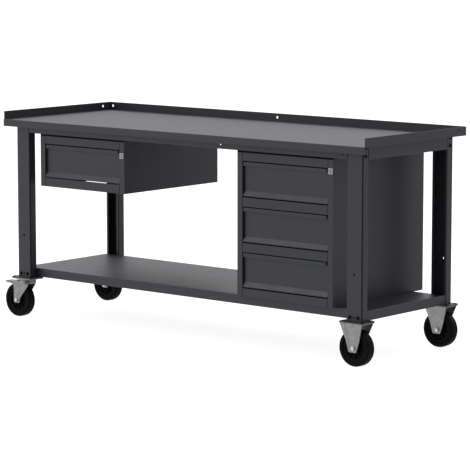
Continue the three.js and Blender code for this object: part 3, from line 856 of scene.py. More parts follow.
class Repeater:
    """A geometry-nodes tree that puts one shape on every spot of a cloud.

    Attributes:
        FACING: Name of the cloud's attribute that says which way a spot faces.
        ALIGNED: The shape's axis that turns that way.
    """

    FACING = "facing"
    ALIGNED = Axis.Z

    def __init__(self, name: str) -> None:
        """Builds the tree: shape, instances, one real mesh, material.

        Args:
            name: The tree's name.
        """
        self.tree = bpy.data.node_groups.new(name, "GeometryNodeTree")
        self.nodes = self.tree.nodes
        face = self.tree.interface
        face.new_socket("Spots", in_out="INPUT", socket_type="NodeSocketGeometry")
        self.identifiers: dict[str, str] = {}
        self.source = self.nodes.new("NodeGroupInput")
        for label, value in self.sizes().items():
            socket = face.new_socket(label, in_out="INPUT", socket_type="NodeSocketFloat")
            socket.default_value = value
            self.identifiers[label] = socket.identifier
        finish = face.new_socket("Finish", in_out="INPUT", socket_type="NodeSocketMaterial")
        self.identifiers["Finish"] = finish.identifier
        face.new_socket("Parts", in_out="OUTPUT", socket_type="NodeSocketGeometry")
        attribute = self.nodes.new("GeometryNodeInputNamedAttribute")
        attribute.data_type = "FLOAT_VECTOR"
        attribute.inputs["Name"].default_value = self.FACING
        align = self.nodes.new("FunctionNodeAlignRotationToVector")
        align.axis = self.ALIGNED.name
        self.link(next(s for s in attribute.outputs if s.type == "VECTOR"), align.inputs["Vector"])
        place = self.nodes.new("GeometryNodeInstanceOnPoints")
        self.link(self.source.outputs["Spots"], place.inputs["Points"])
        self.link(self.shape(), place.inputs["Instance"])
        self.link(align.outputs["Rotation"], place.inputs["Rotation"])
        real = self.nodes.new("GeometryNodeRealizeInstances")
        self.link(place.outputs["Instances"], real.inputs["Geometry"])
        coat = self.nodes.new("GeometryNodeSetMaterial")
        self.link(real.outputs["Geometry"], coat.inputs["Geometry"])
        self.link(self.source.outputs["Finish"], coat.inputs["Material"])
        self.link(coat.outputs["Geometry"], self.nodes.new("NodeGroupOutput").inputs["Parts"])

    def sizes(self) -> dict[str, float]:
        """The shape's named sizes with their defaults, in metres."""
        raise NotImplementedError

    def shape(self) -> bpy.types.NodeSocket:
        """Adds the nodes of the shape.

        Returns:
            The geometry to repeat.
        """
        raise NotImplementedError

    def link(self, source: bpy.types.NodeSocket, target: bpy.types.NodeSocket) -> None:
        """Joins two sockets."""
        self.tree.links.new(source, target)

    def scaled(self, socket: bpy.types.NodeSocket, factor: float) -> bpy.types.NodeSocket:
        """A value times a constant.

        Args:
            socket: The value.
            factor: The constant.

        Returns:
            The product's socket.
        """
        node = self.nodes.new("ShaderNodeMath")
        node.operation = "MULTIPLY"
        self.link(socket, node.inputs[0])
        node.inputs[1].default_value = factor
        return node.outputs[0]

    def stack(
        self,
        *layers: tuple[bpy.types.NodeSocket, bpy.types.NodeSocket | None],
    ) -> bpy.types.NodeSocket:
        """Joins layers, each raised by its own height.

        Args:
            layers: Geometry and the height of its foot, or None for the ground.

        Returns:
            The joined geometry.
        """
        joined = self.nodes.new("GeometryNodeJoinGeometry")
        for geometry, height in reversed(layers):
            if height is not None:
                lift = self.nodes.new("GeometryNodeTransform")
                offset = self.nodes.new("ShaderNodeCombineXYZ")
                self.link(height, offset.inputs["Z"])
                self.link(geometry, lift.inputs["Geometry"])
                self.link(offset.outputs["Vector"], lift.inputs["Translation"])
                geometry = lift.outputs["Geometry"]
            self.link(geometry, joined.inputs[0])
        return joined.outputs[0]

    def frustum(
        self,
        sides: int,
        foot: bpy.types.NodeSocket,
        top: bpy.types.NodeSocket,
        height: bpy.types.NodeSocket,
    ) -> bpy.types.NodeSocket:
        """A many-sided cone cut flat.

        Args:
            sides: Number of sides.
            foot: Radius of the foot.
            top: Radius of the top.
            height: Height.

        Returns:
            The mesh socket.
        """
        node = self.nodes.new("GeometryNodeMeshCone")
        node.inputs["Vertices"].default_value = sides
        self.link(foot, node.inputs["Radius Bottom"])
        self.link(top, node.inputs["Radius Top"])
        self.link(height, node.inputs["Depth"])
        return node.outputs["Mesh"]

    def lay(
        self,
        shop: "Workshop",
        name: str,
        body: str,
        slot: Slot,
        spots: Sequence[Spot],
        **sizes: float,
    ) -> bpy.types.Object:
        """Makes one plain mesh of the shape on every spot.

        Args:
            shop: Where the piece is finished.
            name: The piece's name.
            body: The CAD body it rides on.
            slot: The record slot of its finish.
            spots: Where the shapes stand.
            sizes: Named sizes that differ from the defaults, with _ for spaces.

        Returns:
            The finished piece.
        """
        cloud = bpy.data.meshes.new(name)
        cloud.from_pydata([spot.place for spot in spots], [], [])
        facing = cloud.attributes.new(self.FACING, "FLOAT_VECTOR", "POINT")
        facing.data.foreach_set("vector", [value for spot in spots for value in spot.facing])
        thing = bpy.data.objects.new(name, cloud)
        bpy.context.scene.collection.objects.link(thing)
        modifier = thing.modifiers.new(self.tree.name, "NODES")
        modifier.node_group = self.tree
        modifier[self.identifiers["Finish"]] = shop.palette.materials[slot]
        for label, value in sizes.items():
            modifier[self.identifiers[label.replace("_", " ")]] = value
        solid = evaluated(thing)
        thing.modifiers.clear()
        thing.data = solid
        bpy.data.meshes.remove(cloud)
        return shop.finish(thing, body, slot, bolt=True)


class HexBolt(Repeater):
    """A washer under a hexagon head with a chamfered top.

    Attributes:
        FLANK: Share of the head's height below the chamfer.
    """

    FLANK = 0.8

    def sizes(self) -> dict[str, float]:
        """The bolt's sizes."""
        return {
            "Head Radius": 0.0056,
            "Head Height": 0.0045,
            "Washer Radius": 0.0075,
            "Washer Height": 0.0012,
        }

    def shape(self) -> bpy.types.NodeSocket:
        """Washer, head and chamfer, one on the other."""
        head, tall = self.source.outputs["Head Radius"], self.source.outputs["Head Height"]
        wide, thin = self.source.outputs["Washer Radius"], self.source.outputs["Washer Height"]
        washer = self.frustum(28, wide, self.scaled(wide, 0.96), thin)
        lower = self.frustum(6, head, head, self.scaled(tall, self.FLANK))
        upper = self.frustum(6, head, self.scaled(head, 0.82), self.scaled(tall, 1 - self.FLANK))
        rise = self.nodes.new("ShaderNodeMath")
        self.link(thin, rise.inputs[0])
        self.link(self.scaled(tall, self.FLANK), rise.inputs[1])
        return self.stack((washer, None), (lower, thin), (upper, rise.outputs[0]))


class DomeRivet(Repeater):
    """A low domed rivet head.

    Attributes:
        SHOULDER: Radius and height of its shoulder, as shares of the head's.
    """

    SHOULDER = (0.86, 0.6)

    def sizes(self) -> dict[str, float]:
        """The rivet's sizes."""
        return {"Head Radius": 0.0035, "Head Height": 0.0014}

    def shape(self) -> bpy.types.NodeSocket:
        """A wide foot and a narrower cap."""
        head, tall = self.source.outputs["Head Radius"], self.source.outputs["Head Height"]
        wide, rise = self.SHOULDER
        foot = self.frustum(16, head, self.scaled(head, wide), self.scaled(tall, rise))
        cap = self.frustum(16, self.scaled(head, wide), self.scaled(head, 0.4), self.scaled(tall, 1 - rise))
        return self.stack((foot, None), (cap, self.scaled(tall, rise)))


class RunnerBall(Repeater):
    """A bearing ball."""

    def sizes(self) -> dict[str, float]:
        """The ball's size."""
        return {"Radius": 0.0009}

    def shape(self) -> bpy.types.NodeSocket:
        """A small sphere."""
        ball = self.nodes.new("GeometryNodeMeshIcoSphere")
        ball.inputs["Subdivisions"].default_value = 2
        self.link(self.source.outputs["Radius"], ball.inputs["Radius"])
        return ball.outputs["Mesh"]


class Rib(Repeater):
    """A flat block whose length points the way it faces."""

    ALIGNED = Axis.X

    def sizes(self) -> dict[str, float]:
        """The block's sizes."""
        return {"Length": 0.026, "Depth": 0.008, "Thickness": 0.003}

    def shape(self) -> bpy.types.NodeSocket:
        """A block centred on its spot."""
        size = self.nodes.new("ShaderNodeCombineXYZ")
        for label, axis in (("Length", "X"), ("Depth", "Y"), ("Thickness", "Z")):
            self.link(self.source.outputs[label], size.inputs[axis])
        cube = self.nodes.new("GeometryNodeMeshCube")
        self.link(size.outputs["Vector"], cube.inputs["Size"])
        return cube.outputs["Mesh"]


class Workshop:
    """Turns drafts into finished pieces of the model."""

    def __init__(self, palette: Palette) -> None:
        """Makes the trees of the repeated parts.

        Args:
            palette: The finishes.
        """
        self.palette = palette
        self.bolt = HexBolt("hex_bolt")
        self.rivet = DomeRivet("dome_rivet")
        self.ball = RunnerBall("runner_ball")
        self.rib = Rib("rib")

    def finish(
        self,
        thing: bpy.types.Object,
        body: str,
        slot: Slot,
        replaces: Sequence[str] = (),
        bolt: bool = False,
    ) -> bpy.types.Object:
        """Shades a piece, gives it its finish and ties it to the frame.

        Args:
            thing: A plain mesh object at the origin.
            body: The CAD body it rides on.
            slot: The record slot of its finish.
            replaces: CAD nodes it stands for.
            bolt: Whether it is a fastener.

        Returns:
            The piece.
        """
        thing.data.shade_smooth()
        thing.data.set_sharp_from_angle(angle=SMOOTH_ANGLE)
        rough = thing.data
        modifier = thing.modifiers.new("normals", "WEIGHTED_NORMAL")
        modifier.keep_sharp = True
        thing.data = evaluated(thing)
        thing.modifiers.clear()
        bpy.data.meshes.remove(rough)
        self.palette.dress(thing, slot, bolt)
        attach(thing, body)
        if replaces:
            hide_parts(*replaces)
        return thing

    def piece(
        self,
        draft: Draft,
        name: str,
        body: str,
        slot: Slot,
        replaces: Sequence[str] = (),
        bolt: bool = False,
    ) -> bpy.types.Object:
        """Finishes a draft.

        Args:
            draft: The shells.
            name: The piece's name.
            body: The CAD body it rides on.
            slot: The record slot of its finish.
            replaces: CAD nodes it stands for.
            bolt: Whether it is a fastener.

        Returns:
            The piece.
        """
        thing = draft.plain_object(name)
        draft.mesh.free()
        return self.finish(thing, body, slot, replaces, bolt)


# ---------------------------------------------------------------------------
# Sub-assemblies
# ---------------------------------------------------------------------------


class End(Enum):
    """Front or rear of the bench, with the way it faces along Y."""

    FRONT = ("front", -1)
    REAR = ("rear", 1)

    @property
    def label(self) -> str:
        """The word in node names."""
        return self.value[0]

    @property
    def outwards(self) -> int:
        """Sign along Y."""
        return self.value[1]


class Side(Enum):
    """Left or right of the bench, with the way it faces along X."""

    LEFT = ("left", -1)
    RIGHT = ("right", 1)

    @property
    def label(self) -> str:
        """The word in node names."""
        return self.value[0]

    @property
    def outwards(self) -> int:
        """Sign along X."""
        return self.value[1]


class DrawerKey(Enum):
    """The four drawers, by the word in node names."""

    SINGLE = "single"
    UPPER = "upper"
    MIDDLE = "middle"
    LOWER = "lower"


Pieces = list[bpy.types.Object]


@dataclass
class Worktop:
    """The tray top with its folded front, rims and screw holes.

    Attributes:
        shop: Where pieces are finished.
        sheet: Sheet thickness.
        rest_gap: Gap between the legs and the sheet that lies on them.
        bend: Outer radius of the folds.
        hem: Radius of the sheet's cut edges.
    """

    shop: Workshop
    sheet: float = 0.003
    rest_gap: float = 0.0003
    bend: float = 0.0020
    hem: float = 0.0005

    def build(self) -> Pieces:
        """Rounds the folds and edges of the tray.

        Returns:
            The tray.
        """
        box = Box.of("worktop")
        underside = Box.of("leg_front_left").high.z + self.rest_gap
        surface = underside + self.sheet
        draft = Draft.copy_of("worktop")
        front = (Axis.Y, box.low.y)
        bends = [
            lies_along(Axis.X, front, (Axis.Z, surface)),
            lies_along(Axis.X, front, (Axis.Z, box.low.z)),
            lies_along(Axis.X, (Axis.Y, box.high.y), (Axis.Z, underside)),
            lies_along(Axis.Y, (Axis.X, box.low.x), (Axis.Z, underside)),
            lies_along(Axis.Y, (Axis.X, box.high.x), (Axis.Z, underside)),
        ]
        draft.bevel(self.bend, 4, lambda edge: any(test(edge) for test in bends))
        draft.bevel(self.hem, 2)
        return [self.shop.piece(draft, "worktop_tray", "bench", Slot.PAINT, ["worktop"])]


@dataclass
class Legs:
    """The four lipped channels with their foot plates and bolts, and painted shade down their outer bends.

    Attributes:
        shop: Where pieces are finished.
        width: Width of the web.
        depth: Depth of the flanges.
        lip: Width of each lip.
        sheet: Sheet thickness.
        bend: Inside bend radius.
        foot: Thickness of the foot plate.
        foot_corner: Corner radius of the foot plate.
        web_hole: Height and radius of the hole halfway up.
        foot_hole: Height and radius of the hole between the foot bolts.
        bolt_spread: Distance of each foot bolt from the web's middle.
        flange_bolts: Depths below the leg's top of the bolts in the outer flange.
        seam: Width of the groove along each outer bend, painted black as the bend's shade.
        seam_depth: Depth of that groove.
        seam_stop: How far below the leg's top the groove ends.
        edge: Radius of the cut edges.
        plate_inset: Distance of the foot plate's bolts from its sides and ends.
    """

    shop: Workshop
    width: float = 0.076
    depth: float = 0.040
    lip: float = 0.012
    sheet: float = 0.0025
    bend: float = 0.002
    foot: float = 0.005
    foot_corner: float = 0.006
    web_hole: tuple[float, float] = (0.192, 0.005)
    foot_hole: tuple[float, float] = (0.020, 0.004)
    bolt_spread: float = 0.020
    flange_bolts: tuple[float, float] = (0.006, 0.039)
    seam: float = 0.0034
    seam_depth: float = 0.0012
    seam_stop: float = 0.001
    edge: float = 0.0004
    plate_inset: tuple[float, float] = (0.011, 0.012)

    def build(self) -> Pieces:
        """Folds every leg and sets its bolts.

        Returns:
            Four legs and two meshes of bolts.
        """
        pieces = [self.leg(end, side) for end in End for side in Side]
        pieces += [self.bolts(), self.plate_bolts()]
        return pieces

    def web_level(self, box: Box, end: End) -> float:
        """Where the web's outer face is, along Y."""
        return box.centre.y + end.outwards * self.depth / 2

    def leg(self, end: End, side: Side) -> bpy.types.Object:
        """One leg.

        Args:
            end: Front or rear.
            side: Left or right.

        Returns:
            The leg.
        """
        node = f"leg_{end.label}_{side.label}"
        box = Box.of(node)
        half, edge = self.width / 2, self.width / 2 - self.lip
        path = [complex(edge, self.depth), complex(half, self.depth), complex(half, 0), complex(-half, 0)]
        path += [complex(-half, self.depth), complex(-edge, self.depth)]
        web = self.web_level(box, end)
        outline = [
            complex(box.centre.x + point.real, web - end.outwards * point.imag)
            for point in folded_sheet(path, self.sheet, self.bend)
        ]
        draft = Draft().prism(outline, Axis.Z, box.low.z + self.foot / 2, box.high.z)
        holes = Draft()
        for rise, radius in (self.web_hole, self.foot_hole):
            holes.bar(Vector((box.centre.x, web, box.low.z + rise)), Axis.Y, radius, 4 * self.sheet, 24)
        draft.cut(holes)
        # Painted shade: black grooves down both outer bends, where the folded corners look dark.
        grooves = Draft()
        for out in (-1, 1):
            start = box.centre.x + out * (half - self.seam_depth)
            across = sorted((start, start + out * 2 * self.seam_depth))
            along = sorted(web - end.outwards * back for back in (self.sheet, self.sheet + self.seam))
            grooves.block(
                (across[0], along[0], box.low.z + self.foot),
                (across[1], along[1], box.high.z - self.seam_stop),
            )
        draft.cut(grooves.as_seam())
        plate = rounded_rectangle(
            complex(box.low.x, box.low.y), complex(box.high.x, box.high.y), self.foot_corner
        )
        draft.prism(plate, Axis.Z, box.low.z, box.low.z + self.foot)
        draft.bevel(self.edge)
        return self.shop.piece(draft, f"{node}_fold", "bench", Slot.PAINT, [node])

    def bolts(self) -> bpy.types.Object:
        """Bolts in the feet and in the outer flanges.

        Returns:
            One mesh of bolts.
        """
        spots = []
        for end in End:
            for side in Side:
                box = Box.of(f"leg_{end.label}_{side.label}")
                web = self.web_level(box, end)
                out_y, out_x = Vector((0, end.outwards, 0)), Vector((side.outwards, 0, 0))
                for shift in (-self.bolt_spread, self.bolt_spread):
                    place = Vector((box.centre.x + shift, web, box.low.z + self.foot_hole[0]))
                    spots.append(Spot(place, out_y))
                flange = box.centre.x + side.outwards * self.width / 2
                for drop in self.flange_bolts:
                    spots.append(Spot(Vector((flange, box.centre.y, box.high.z - drop)), out_x))
        return self.shop.bolt.lay(self.shop, "leg_bolts", "bench", Slot.ZINC, spots)

    def plate_bolts(self) -> bpy.types.Object:
        """Painted bolts through the foot plates.

        Returns:
            One mesh of bolts.
        """
        spots = []
        for end in End:
            for side in Side:
                spots += self.plate_spots(Box.of(f"leg_{end.label}_{side.label}"))
        return self.shop.bolt.lay(
            self.shop, "foot_plate_bolts", "bench", Slot.PAINT, spots,
            Head_Radius=0.0048, Head_Height=0.002, Washer_Radius=0.0062, Washer_Height=0.0006,
        )

    def plate_spots(self, box: Box) -> list[Spot]:
        """Places for the four bolts through a foot plate.

        Args:
            box: The leg's box, which the plate fills in plan.

        Returns:
            The spots.
        """
        reach_x = (box.high.x - box.low.x) / 2 - self.plate_inset[0]
        reach_y = (box.high.y - box.low.y) / 2 - self.plate_inset[1]
        up = Vector((0, 0, 1))
        return [
            Spot(Vector((box.centre.x + dx, box.centre.y + dy, box.low.z + self.foot)), up)
            for dx in (-reach_x, reach_x)
            for dy in (-reach_y, reach_y)
        ]


@dataclass
class Rails:
    """The four channels under the worktop.

    Attributes:
        shop: Where pieces are finished.
        sheet: Sheet thickness.
        bend: Inside bend radius.
        hole_rise: Height of the front rail's holes above its foot.
        hole_inset: Distance of the end holes from the rail's ends.
        hole_beside: Distance of the middle hole from the cabinet.
        hole_radius: Their radius.
        edge: Radius of the cut edges.
    """

    shop: Workshop
    sheet: float = 0.0025
    bend: float = 0.002
    hole_rise: float = 0.018
    hole_inset: float = 0.022
    hole_beside: float = 0.075
    hole_radius: float = 0.003
    edge: float = 0.0004

    def build(self) -> Pieces:
        """Folds the rails and drills the front one.

        Returns:
            Four rails.
        """
        return [self.long_rail(end) for end in End] + [self.end_rail(side) for side in Side]

    def section(self, box: Box, axis: Axis, outwards: int) -> Outline:
        """The channel's outline, its web on the outside.

        Args:
            box: The rail's box.
            axis: The axis across the rail.
            outwards: Which way the web faces along it.

        Returns:
            The outline.
        """
        across = axis.value
        reach = box.high[across] - box.low[across]
        low, high = box.low.z, box.high.z
        path = [complex(reach, low), complex(0, low), complex(0, high), complex(reach, high)]
        outline = folded_sheet(path, self.sheet, self.bend)
        if outwards < 0:
            return moved(outline, box.low[across])
        return moved(mirrored(outline), box.high[across])

    def long_rail(self, end: End) -> bpy.types.Object:
        """The front or rear rail."""
        node = f"rail_{end.label}"
        box = Box.of(node)
        draft = Draft().prism(self.section(box, Axis.Y, end.outwards), Axis.X, box.low.x, box.high.x)
        if end is End.FRONT:
            beside = Box.of("cabinet_shell").low.x - self.hole_beside
            holes = Draft()
            for x in (box.low.x + self.hole_inset, beside, box.high.x - self.hole_inset):
                place = Vector((x, box.low.y, box.low.z + self.hole_rise))
                holes.bar(place, Axis.Y, self.hole_radius, 4 * self.sheet, 24)
            draft.cut(holes)
        draft.bevel(self.edge)
        return self.shop.piece(draft, f"{node}_fold", "bench", Slot.PAINT, [node])

    def end_rail(self, side: Side) -> bpy.types.Object:
        """The left or right rail."""
        node = f"rail_{side.label}"
        box = Box.of(node)
        draft = Draft().prism(self.section(box, Axis.X, side.outwards), Axis.Y, box.low.y, box.high.y)
        draft.bevel(self.edge)
        return self.shop.piece(draft, f"{node}_fold", "bench", Slot.PAINT, [node])


@dataclass
class Shelf:
    """The lower shelf with its folded edges.

    Attributes:
        shop: Where pieces are finished.
        bend: Outer radius of the folds.
        hem: Radius of the cut edges.
    """

    shop: Workshop
    bend: float = 0.003
    hem: float = 0.0005

    def build(self) -> Pieces:
        """Rounds the folds along the top.

        Returns:
            The shelf.
        """
        box = Box.of("shelf")
        draft = Draft.copy_of("shelf")
        top = (Axis.Z, box.high.z)
        bends = [lies_along(Axis.X, top), lies_along(Axis.Y, top)]
        draft.bevel(self.bend, 4, lambda edge: any(test(edge) for test in bends))
        draft.bevel(self.hem, 1)
        return [self.shop.piece(draft, "shelf_tray", "bench", Slot.PAINT, ["shelf"])]


@dataclass
class DrawerHousing:
    """A folded housing: bends, stile-to-bridge joints, painted shadow under the rails, rivets at the back.

    Attributes:
        shop: Where pieces are finished.
        node: The CAD node.
        keys: Its drawers.
        bend: Outer radius of the vertical folds.
        seam: Width of the dark joints.
        seam_depth: Depth of the dark joints and of the painted shadow band.
        head_seam: Height of the black band painted across the top as the shadow under the rails.
        clearance: Between a drawer front and the opening's side.
        edge_gap: Between a drawer front and the opening's top or bottom.
        seam_inset: Between the opening's side and a dark joint.
        seam_stop: Between a bridge's edge and the end of a dark joint.
        crown: Height of the strip that the painted shadow band leaves at the top.
        rivet_inset: Distance of the rivets from the back's edges.
        rivet_pitch: Largest distance between rivets.
    """

    shop: Workshop
    node: str
    keys: tuple[DrawerKey, ...]
    bend: float = 0.0025
    seam: float = 0.0022
    seam_depth: float = 0.0008
    head_seam: float = 0.0090
    clearance: float = 0.003
    edge_gap: float = 0.004
    seam_inset: float = 0.0002
    seam_stop: float = 0.0006
    crown: float = 0.0004
    rivet_inset: float = 0.012
    rivet_pitch: float = 0.09

    def build(self) -> Pieces:
        """Rounds the housing, scores its dark joints and its painted shadow band, and rivets its back.

        Returns:
            The housing and its rivets.
        """
        box = Box.of(self.node)
        draft = Draft.copy_of(self.node).cut(self.seams(box))
        bends = [
            lies_along(Axis.Z, (Axis.X, x), (Axis.Y, y))
            for x in (box.low.x, box.high.x)
            for y in (box.low.y, box.high.y)
        ]
        draft.bevel(self.bend, 4, lambda edge: any(test(edge) for test in bends))
        pieces = [self.shop.piece(draft, f"{self.node}_fold", "bench", Slot.PAINT, [self.node])]
        pieces.append(self.rivets(box))
        return pieces

    def seams(self, box: Box) -> Draft:
        """Shallow black slots: dark joints where the bridges meet the stiles, and a painted shadow band under
        the rails.

        Args:
            box: The housing's box.

        Returns:
            The slots' volume.
        """
        fronts = [Box.of(f"drawer_front_{key.value}") for key in self.keys]
        levels = [box.high.z]
        for front in fronts:
            levels += [front.high.z + self.edge_gap, front.low.z - self.edge_gap]
        levels.append(box.low.z)
        left, right = fronts[0].low.x - self.clearance, fronts[0].high.x + self.clearance
        head = box.high.z - self.head_seam
        near, far = box.low.y - self.seam_depth, box.low.y + self.seam_depth
        tool = Draft()
        for upper, lower in zip(levels[::2], levels[1::2]):
            for start in (left + self.seam_inset, right - self.seam - self.seam_inset):
                tool.block(
                    (start, near, lower + self.seam_stop),
                    (start + self.seam, far, min(upper, head) - self.seam_stop),
                )
        # Painted shadow: a black band across the housing's top, where the rails above cast their shadow.
        tool.block(
            (box.low.x - self.seam_depth, near, head),
            (box.high.x + self.seam_depth, far, box.high.z - self.crown),
        )
        return tool.as_seam()

    def rivets(self, box: Box) -> bpy.types.Object:
        """Rivets up both sides of the back.

        Args:
            box: The housing's box.

        Returns:
            One mesh of rivets.
        """
        inset = self.rivet_inset
        run = box.high.z - box.low.z - 2 * inset
        count = max(2, math.ceil(run / self.rivet_pitch) + 1)
        back = Vector((0, 1, 0))
        spots = [
            Spot(Vector((x, box.high.y, box.low.z + inset + run / (count - 1) * i)), back)
            for x in (box.low.x + inset, box.high.x - inset)
            for i in range(count)
        ]
        return self.shop.rivet.lay(self.shop, f"{self.node}_rivets", "bench", Slot.PAINT, spots)


@dataclass
class Drawer:
    """A drawer: folded front, box with divider ribs, runner members and their balls.

    Attributes:
        shop: Where pieces are finished.
        key: Which drawer.
        sheet: Sheet thickness of the front.
        bend: Inside bend radius of the front.
        handle: Height of the handle strip.
        recess: Depth of the panel behind the strip.
        slope: Height of the forward slope along the foot.
        foot_return: Depth of the return under the slope.
        notch_left: How far the strip stops short of the front's left end.
        notch_right: How far it stops short of the right end.
        edge: Radius of the front's cut edges.
        eased: Radius of the edges of box and runners.
        rib_inset: Distance of the divider ribs from the box's outer side.
        rib_margin: Distance of the first rib from the box's front, and what the ribs leave free in all.
        rib_share: Height of a rib as a share of the box's.
        rib_pitch: Distance between divider ribs.
        ball_margin: Distance of the first ball from the runner's end.
        ball_set: How far a ball's middle stands off the runner.
        ball_pitch: Distance between the runners' balls.
    """

    shop: Workshop
    key: DrawerKey
    sheet: float = 0.002
    bend: float = 0.001
    handle: float = 0.016
    recess: float = 0.011
    slope: float = 0.020
    foot_return: float = 0.014
    notch_left: float = 0.0025
    notch_right: float = 0.0065
    edge: float = 0.0003
    eased: float = 0.0004
    rib_inset: float = 0.0080
    rib_margin: tuple[float, float] = (0.04, 0.06)
    rib_share: float = 0.6
    rib_pitch: float = 0.05
    ball_margin: float = 0.015
    ball_set: float = 0.0006
    ball_pitch: float = 0.02

    @property
    def body(self) -> str:
        """The CAD body that slides."""
        return f"drawer_{self.key.value}"

    def build(self) -> Pieces:
        """Makes everything that belongs to the drawer.

        Returns:
            Its pieces.
        """
        return [self.front(), self.tray(), self.divider_ribs(), *self.runners()]

    def front(self) -> bpy.types.Object:
        """The folded front, its strip notched at both ends."""
        node = f"drawer_front_{self.key.value}"
        box = Box.of(node)
        strip, top, foot = box.low.y, box.high.z, box.low.z + self.sheet
        panel = strip + self.recess + self.sheet
        path = [
            complex(strip, top - self.handle), complex(strip, top), complex(panel, top),
            complex(panel, foot + self.slope), complex(strip + self.sheet, foot),
            complex(strip + self.foot_return, foot),
        ]
        draft = Draft().prism(folded_sheet(path, self.sheet, self.bend), Axis.X, box.low.x, box.high.x)
        notches = Draft()
        spare = 0.001
        for low, high in (
            (box.low.x - spare, box.low.x + self.notch_left),
            (box.high.x - self.notch_right, box.high.x + spare),
        ):
            notches.block(
                (low, strip - spare, top - self.handle - spare),
                (high, strip + self.recess - self.sheet, top + spare),
            )
        draft.cut(notches)
        draft.bevel(self.edge)
        return self.shop.piece(draft, f"{node}_fold", self.body, Slot.PAINT, [node])

    def tray(self) -> bpy.types.Object:
        """The box, its edges eased."""
        node = f"drawer_box_{self.key.value}"
        return self.shop.piece(
            Draft.copy_of(node).bevel(self.eased), f"{node}_sheet", self.body, Slot.PAINT, [node]
        )

    def divider_ribs(self) -> bpy.types.Object:
        """Upright ribs inside both sides, which hold divider plates."""
        box = Box.of(f"drawer_box_{self.key.value}")
        height = (box.high.z - box.low.z) * self.rib_share
        up = Vector((0, 0, 1))
        first, spare = self.rib_margin
        count = int((box.high.y - box.low.y - spare) / self.rib_pitch)
        spots = [
            Spot(Vector((x, box.low.y + first + self.rib_pitch * i, box.centre.z)), up)
            for x in (box.low.x + self.rib_inset, box.high.x - self.rib_inset)
            for i in range(count + 1)
        ]
        return self.shop.rib.lay(
            self.shop, f"drawer_ribs_{self.key.value}", self.body, Slot.PAINT, spots,
            Length=height, Depth=0.004, Thickness=0.0016,
        )

    def runners(self) -> Pieces:
        """The fixed and middle members of both sides, and the balls in the middle ones."""
        pieces: Pieces = []
        spots: list[Spot] = []
        body = f"runners_{self.key.value}"
        up = Vector((0, 0, 1))
        for side in Side:
            middle = f"runner_middle_{self.key.value}_{side.label}"
            for node, rider in ((f"runner_fixed_{self.key.value}_{side.label}", "bench"), (middle, body)):
                member = Draft.copy_of(node).bevel(self.eased)
                pieces.append(self.shop.piece(member, f"{node}_rolled", rider, Slot.ZINC, [node]))
            box = Box.of(middle)
            count = int((box.high.y - box.low.y - 2 * self.ball_margin) / self.ball_pitch)
            spots += [
                Spot(Vector((box.centre.x, box.low.y + self.ball_margin + self.ball_pitch * i, level)), up)
                for level in (box.low.z - self.ball_set, box.high.z + self.ball_set)
                for i in range(count + 1)
            ]
        pieces.append(self.shop.ball.lay(self.shop, f"runner_balls_{self.key.value}", body, Slot.ZINC, spots))
        return pieces


@dataclass
class Lock:
    """A cam lock: plate, bezel ring and keyed plug.

    Attributes:
        shop: Where pieces are finished.
        key: The word in node names.
        corner: Corner radius of the plate.
        bezel: Radius of the ring round the plug, and of its wire.
        trims: How much each side and each end of the plate stands back.
        keyhole: Half width, half height and depth of the keyhole, painted black inside as its shade.
        eased: Radius of the edges of plate and plug.
    """

    shop: Workshop
    key: str
    corner: float = 0.0015
    bezel: tuple[float, float] = (0.0085, 0.0007)
    trims: tuple[float, float] = (0.0006, 0.0018)
    keyhole: tuple[float, float, float] = (0.0011, 0.0027, 0.005)
    eased: tuple[float, float] = (0.0004, 0.0002)

    def build(self) -> Pieces:
        """Rounds the plate, adds the bezel and eases the plug.

        Returns:
            Case and plug.
        """
        case, plug = f"lock_case_{self.key}", f"lock_plug_{self.key}"
        box = Box.of(case)
        corners = [
            lies_along(Axis.Y, (Axis.X, x), (Axis.Z, z))
            for x in (box.low.x, box.high.x)
            for z in (box.low.z, box.high.z)
        ]
        draft = Draft.copy_of(case)
        draft.bevel(self.corner, 4, lambda edge: any(test(edge) for test in corners))
        self.trim(draft, box)
        draft.bevel(self.eased[0], 2)
        keyed = Draft.copy_of(plug)
        face, hole = Box.of(plug), Draft()
        half_wide, half_tall, deep = self.keyhole
        hole.block(
            (face.centre.x - half_wide, face.low.y - MM, face.centre.z - half_tall),
            (face.centre.x + half_wide, face.low.y + deep, face.centre.z + half_tall),
        )
        # Painted shade: the keyhole's inside takes the black used for dark joints and painted shade.
        keyed.cut(hole.as_seam()).bevel(self.eased[1])
        radius, wire = self.bezel
        ring = [radius + wire * cmath.exp(2j * math.pi * i / 12) for i in range(12)]
        draft.lathe(ring, Vector((box.centre.x, box.low.y, box.centre.z)), Axis.Y)
        return [
            self.shop.piece(draft, f"{case}_plate", "bench", Slot.LOCK, [case]),
            self.shop.piece(keyed, f"{plug}_keyed", f"lock_{self.key}", Slot.LOCK, [plug]),
        ]

    def trim(self, draft: Draft, box: Box) -> None:
        """Moves the plate's rim inwards.

        Args:
            draft: The case.
            box: The case's box.
        """
        for axis, back in zip((Axis.X, Axis.Z), self.trims):
            middle = box.centre[axis.value]
            rim = box.high[axis.value] - middle - self.corner - MERGE_DISTANCE
            for vertex in draft.mesh.verts:
                off = vertex.co[axis.value] - middle
                if abs(off) > rim:
                    vertex.co[axis.value] -= math.copysign(back, off)


